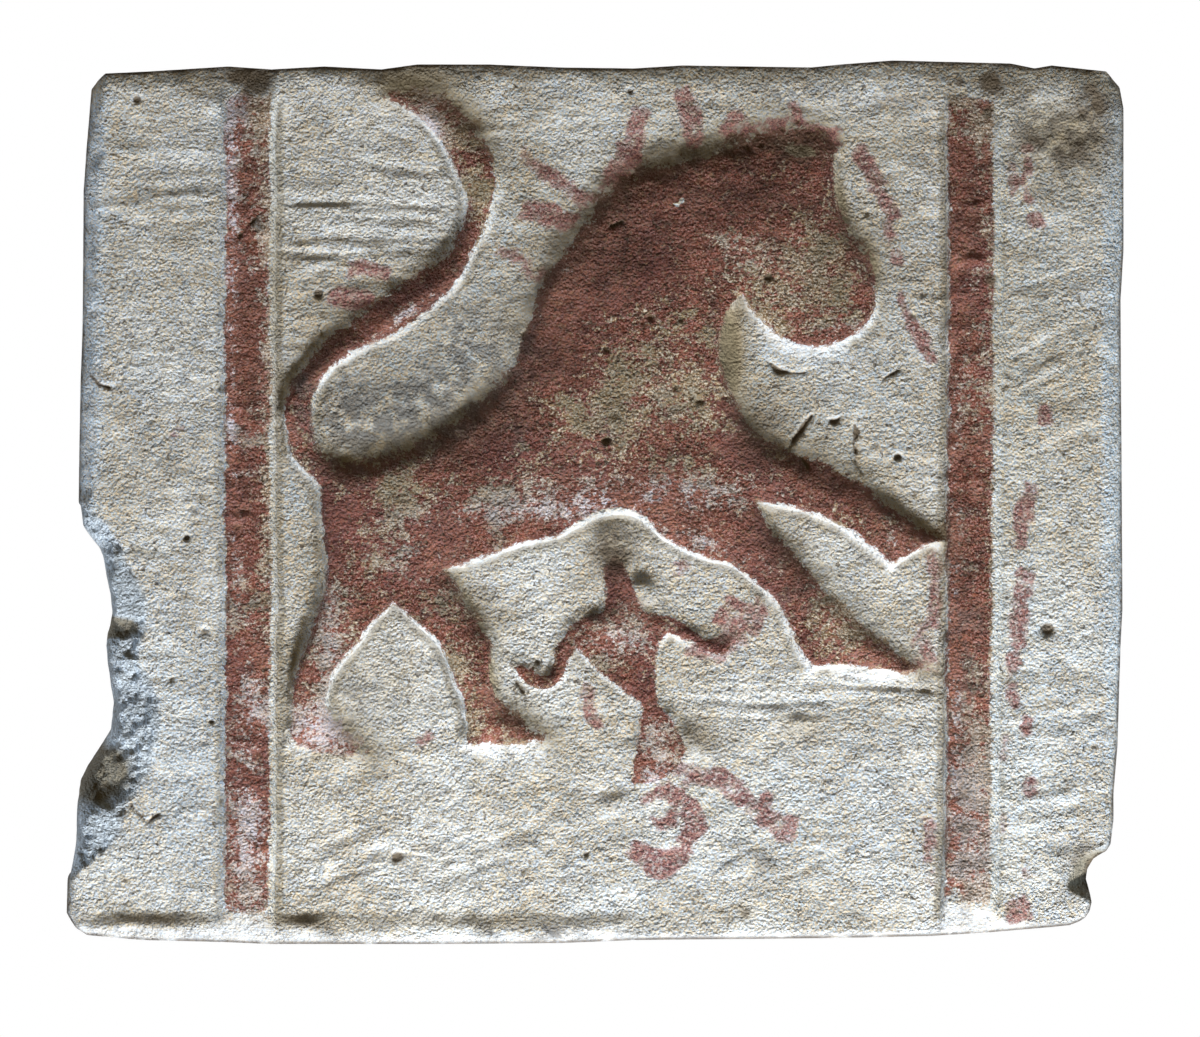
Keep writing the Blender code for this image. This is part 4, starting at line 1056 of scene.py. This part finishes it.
def clayFinish():
    f = Finish("firedClay")
    crumb = f.noise(430, 4.0, 0.74)
    flecks = f.noise(620, 3.0, 0.75, (3, 1, 2))
    hue = f.noise(1350, 2.0, 0.65, (4, 4, 2))
    wideHue = f.noise(380, 3.0, 0.6, (4, 1, 2))
    medium = f.noise(150, 3.0, 0.6, (1, 5, 2))
    patches = f.noise(62, 3.0, 0.6, (2, 6, 4))
    broad = f.noise(30, 3.0, 0.55, (7, 2, 3))
    crumbly = f.ramp(f.noise(85, 3.0, 0.6, (5, 5, 5)), 0.36, 0.60)
    pinholes = f.ramp(f.noise(420, 1.0, 0.5, (9, 9, 1)), 0.30, 0.26)

    # bare clay
    cream = f.mix(f.ramp(broad, 0.35, 0.65), "creamLight", "creamDark")
    # painted cool light: a bluish tint
    cream = f.mix(f.times("coolLightTint", 0.6), cream, "creamCool")
    # painted shade with duller clay
    cream = f.mix(f.times("dulledAndShaded", 0.75), cream, "creamDullAndShade")
    hues = f.plus(f.times(hue, 0.78), f.times(wideHue, 0.22))
    fleckHue = f.mix(f.ramp(hues, 0.42, 0.58), "fleckWarm", "fleckCool")
    cream = f.mix(0.45, cream, fleckHue, "OVERLAY")
    creviceShade = f.mix(f.ramp(medium, 0.42, 0.58), "creviceShade", "slate")
    # painted shade in the grain's hollows, where the bump dips
    cream = f.mix(f.times(f.ramp(crumb, 0.49, 0.34), 0.6), cream, creviceShade)
    # painted shade in the pinholes that the bump dents
    cream = f.mix(f.times(pinholes, 0.7), cream, "pitDark")
    # painted highlight: faces turned down towards the low lamp are whitened
    cream = f.mix(f.times("facesDownHighlight", 0.4), cream, "highlightWhite")
    # tan clay, with painted shade on walls and slopes turned from the low lamp
    cream = f.mix(f.times("tanned", 0.8), cream, "tan")
    cream = f.mix(f.ramp("tanned", 1.0, 2.0, 0.0, 0.8), cream, "olive")
    # painted shade with olive dust on faces turned up, away from the low lamp
    cream = f.mix(f.times("facesUpShadeAndDust", 0.45), cream, "olive")
    # painted shade with olive dirt in the ground along the animal's upper edge
    cream = f.mix(f.times("rollInShadeAndDirt", 0.8), cream, "olive")
    grey = f.times("greyStain", f.ramp(medium, 0.40, 0.56))
    cream = f.mix(f.times(grey, 0.8), cream, "charcoal")

    # red paint, thick and dark or worn through in flecks
    red = f.mix(f.ramp(hue, 0.51, 0.60), "redMid", "redPale")
    red = f.mix(f.ramp(hue, 0.45, 0.38), red, "redDeep")
    red = f.mix(f.times(f.ramp(medium, 0.44, 0.60), 0.7), red, "redDeep")
    red = f.mix(f.times(f.ramp(patches, 0.47, 0.36), 0.45), red, "redPale")
    red = f.mix(f.times(f.ramp(flecks, 0.53, 0.60), 0.55), red, "wornTan")
    red = f.mix(f.times(f.ramp(broad, 0.50, 0.62), 0.5), red, "redPurple")
    # thick dark red, with painted shade on the neck and back
    red = f.mix(f.times("deepRed", 0.6), red, "redDeep")
    # pale flecks, and painted highlights on lower and left edges
    red = f.mix(f.times("paleFlecksAndHighlight", 0.45), red, "redPale")
    wornTo = f.mix(f.ramp(hue, 0.40, 0.60), "wornTan", "wornCream")
    pinkish = f.ramp(f.plus("wear", medium), 0.85, 0.45)
    wornTo = f.mix(f.times(pinkish, 0.75), wornTo, "redPale")
    wornTo = f.mix(f.times(f.ramp(patches, 0.50, 0.64), 0.6), wornTo, "olive")
    # pale flecks, and painted highlights on lower and left edges
    wornTo = f.mix(f.times("paleFlecksAndHighlight", 0.9), wornTo, "lilac")
    rubbed = f.plus(f.times(flecks, 0.40), f.times(f.plus(medium, patches), 0.30))
    rubbed = f.less(f.plus(rubbed, f.times("wear", 0.13)), f.times("deepRed", 0.05))
    red = f.mix(f.ramp(rubbed, 0.54, 0.61), red, wornTo)
    red = f.mix(0.3, red, fleckHue, "OVERLAY")
    # painted shade in the pinholes on the red
    red = f.mix(f.times(pinholes, 0.75), red, "umber")
    # painted shade with dirt on the red where it rolls in along the upper edge
    red = f.mix(f.times("rollInShadeAndDirt", 0.6), red, "umber")
    red = f.mix(f.times(grey, 0.6), red, "charcoal")

    # how far the paint and the brush strokes cover the clay, with a broken edge
    ragged = f.times(f.less(f.plus(flecks, medium), 1.0), 1.6)
    ragged = f.times(ragged, f.plus("rollInShadeAndDirt", 1.0))
    covered = f.ramp(f.plus("redPaint", ragged), -0.05, 0.22)
    patchy = f.times(f.less(medium, 0.5), 1.1)
    brushedOn = f.plus(f.plus("brushed", patchy), f.times(ragged, 1.1))
    thin = f.times(f.ramp(brushedOn, 0.08, 0.75), f.ramp("brushed", 0.03, 0.22))
    thin = f.times(thin, f.ramp(flecks, 0.62, 0.46, 0.45, 0.95))
    strokeRed = f.mix(f.ramp(hue, 0.42, 0.62), "strokeRed", "redPale")
    colour = f.mix(thin, cream, strokeRed)
    colour = f.mix(covered, colour, red)

    # dirt and painted shade over both, a darker line along the silhouette, and the broken clay
    # brown stains and painted shade
    stainAndShade = f.times("brownStainAndShade", f.ramp(f.plus(broad, medium), 0.75, 1.15))
    colour = f.mix(f.times(stainAndShade, 0.85), colour, "umber")
    # painted shade: olive darkening in the hollows of the face
    colour = f.mix(f.times(f.ramp("hollowShade", 0.08, 0.8), 0.6), colour, "olive")
    # the broken clay, made bluish with painted cool light from the left lamp
    brokenClay = f.mix(f.ramp(flecks, 0.40, 0.60), "breakPale", "breakGrey")
    # painted shade in the broken clay's grain hollows
    brokenClay = f.mix(f.ramp(crumb, 0.46, 0.34, 0.0, 0.4), brokenClay, "slate")
    # stains and painted shade on the broken clay
    soakedAndShaded = f.ramp(f.plus("brownStainAndShade", f.times(medium, 0.5)), 0.45, 0.9)
    brokenClay = f.mix(f.times(soakedAndShaded, 0.88), brokenClay, "olive")
    colour = f.mix("broken", colour, brokenClay)
    # painted shade in the cracks and pits, and nearly black dirt
    darkened = f.ramp(f.plus("darkened", f.times(medium, 0.6)), 0.5, 1.1)
    colour = f.mix(f.times(darkened, 0.85), colour, "pitDark")
    # darker in a thin line along the silhouette
    rimDarkening = f.times("rimDarkening", f.ramp(medium, 0.30, 0.50, 0.35, 1.0))
    colour = f.mix(f.times(rimDarkening, 0.85), colour, "umber")
    f.feed(f.shader.inputs["Base Color"], colour)
    f.feed(f.shader.inputs["Roughness"], "roughness")
    f.feed(f.shader.inputs["Specular IOR Level"], "specular")

    # the grain: fine granules, coarser ones in crumbly patches, pinholes and marks drawn across
    drawn = f.ramp(f.noise(170, 3.0, 0.65, (8, 8, 8), stretch=(1.7, 1, 1), turn=20), 0.36, 0.56)
    grain = f.less(f.times(crumb, 0.8), f.times(f.granules(900), 0.32))
    coarse = f.times(f.granules(430, (-2, -7, -1)), crumbly)
    grain = f.less(grain, f.times(coarse, 0.25))
    grain = f.times(grain, f.plus(f.times(crumbly, 0.7), 0.5))
    grain = f.plus(grain, f.times(drawn, 0.07))
    grain = f.less(grain, f.times(pinholes, 0.3))
    bump = f.nodes.new("ShaderNodeBump")
    bump.inputs["Strength"].default_value = 1.0
    f.feed(bump.inputs["Distance"], "grainDepth")
    f.feed(bump.inputs["Height"], f.times(grain, "grain"))
    f.feed(f.shader.inputs["Normal"], bump.outputs["Normal"])
    return f.material


finishValues(plaque)
plaque.data.materials.clear()
plaque.data.materials.append(clayFinish())
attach(plaque, "root")
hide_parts("relief_plaque")
print("clay finished")


# The studio: pale floor, soft lamps low in front as in the photograph, and its camera

studio = {
    "floorHeight": -1.7,
    "floorSize": 16,
    "floorColour": (0.8, 0.8, 0.8, 1),
    "floorRoughness": 0.9,
    "lampsAimAt": (0, -0.05, 0),
    "key": {"place": (0.22, -0.66, -1.12), "size": 0.22, "power": 34.5, "colour": (0.955, 0.985, 1.0)},
    "leftFill": {"place": (-1.2, -0.25, -0.3), "size": 0.5, "power": 7, "colour": (0.62, 0.79, 1.0)},
    "rightFill": {"place": (1.2, -0.25, -0.2), "size": 0.6, "power": 5, "colour": (0.55, 0.80, 1.0)},
    "backFill": {"place": (0.3, 1.6, 0.9), "size": 1.6, "power": 30, "colour": (1.0, 1.0, 1.0)},
    "leftBack": {"place": (-1.5, 0.9, 0.3), "size": 0.8, "power": 7, "colour": (1.0, 0.88, 0.72)},
    "rightBack": {"place": (1.5, 0.9, 0.3), "size": 0.8, "power": 7, "colour": (1.0, 0.88, 0.72)},
    "floorLamp": {"place": (0.0, 0.0, -0.75), "size": 24, "power": 1250, "colour": (1.0, 1.0, 1.0)},
    "ambient": (0.165, 0.130, 0.078, 1),
    "cameraDistance": 3.0,
    "sensorWide": 36,
    "pictureWide": 1200,
    "pictureMiddle": (600, 518.5),
}


def aim(thing, target):
    direction = np.array(target) - np.array(thing.location)
    flat = math.hypot(direction[0], direction[1])
    thing.rotation_euler = (math.atan2(flat, -direction[2]), 0, math.atan2(-direction[0], direction[1]))


def addLamp(name, settings):
    bpy.ops.object.light_add(type="AREA", location=settings["place"])
    lamp = bpy.context.object
    lamp.name = name
    lamp.data.shape = "DISK"
    lamp.data.size = settings["size"]
    lamp.data.energy = settings["power"]
    lamp.data.color = settings["colour"]
    lamp.visible_camera = False
    aim(lamp, studio["lampsAimAt"])
    return lamp


def buildStudio():
    bpy.ops.object.select_all(action="DESELECT")
    bpy.ops.mesh.primitive_plane_add(size=studio["floorSize"], location=(0, 0, studio["floorHeight"]))
    floor = bpy.context.object
    floor.name = "floor"
    pale = bpy.data.materials.new("paleFloor")
    pale.use_nodes = True
    shader = pale.node_tree.nodes["Principled BSDF"]
    shader.inputs["Base Color"].default_value = studio["floorColour"]
    shader.inputs["Roughness"].default_value = studio["floorRoughness"]
    floor.data.materials.append(pale)
    floor.visible_diffuse = False  # it throws no light up on the plaque
    for name in ("key", "leftFill", "rightFill", "backFill", "leftBack", "rightBack", "floorLamp"):
        lamp = addLamp(name, studio[name])
    lamp.rotation_euler = (0, 0, 0)  # the floor's lamp points straight down

    scene = bpy.context.scene
    scene.view_settings.view_transform = "Standard"
    world = scene.world or bpy.data.worlds.new("studio")
    scene.world = world
    world.use_nodes = True
    nodes, links = world.node_tree.nodes, world.node_tree.links
    nodes.clear()
    ambient, white = nodes.new("ShaderNodeBackground"), nodes.new("ShaderNodeBackground")
    ambient.inputs["Color"].default_value = studio["ambient"]
    white.inputs["Color"].default_value = (1, 1, 1, 1)
    rays, blend = nodes.new("ShaderNodeLightPath"), nodes.new("ShaderNodeMixShader")
    output = nodes.new("ShaderNodeOutputWorld")
    links.new(rays.outputs["Is Camera Ray"], blend.inputs[0])
    links.new(ambient.outputs[0], blend.inputs[1])
    links.new(white.outputs[0], blend.inputs[2])
    links.new(blend.outputs[0], output.inputs["Surface"])

    acrossPicture = studio["pictureWide"] * step
    pictureX, pictureY = studio["pictureMiddle"]
    faceY = studio["lampsAimAt"][1]
    bpy.ops.object.camera_add(
        location=((pictureX - middleX) * step, faceY - studio["cameraDistance"], (middleY - pictureY) * step)
    )
    camera = bpy.context.object
    camera.rotation_euler = (math.radians(90), 0, 0)
    camera.data.sensor_width = studio["sensorWide"]
    camera.data.lens = studio["sensorWide"] * studio["cameraDistance"] / acrossPicture
    scene.camera = camera


buildStudio()
print("studio ready")
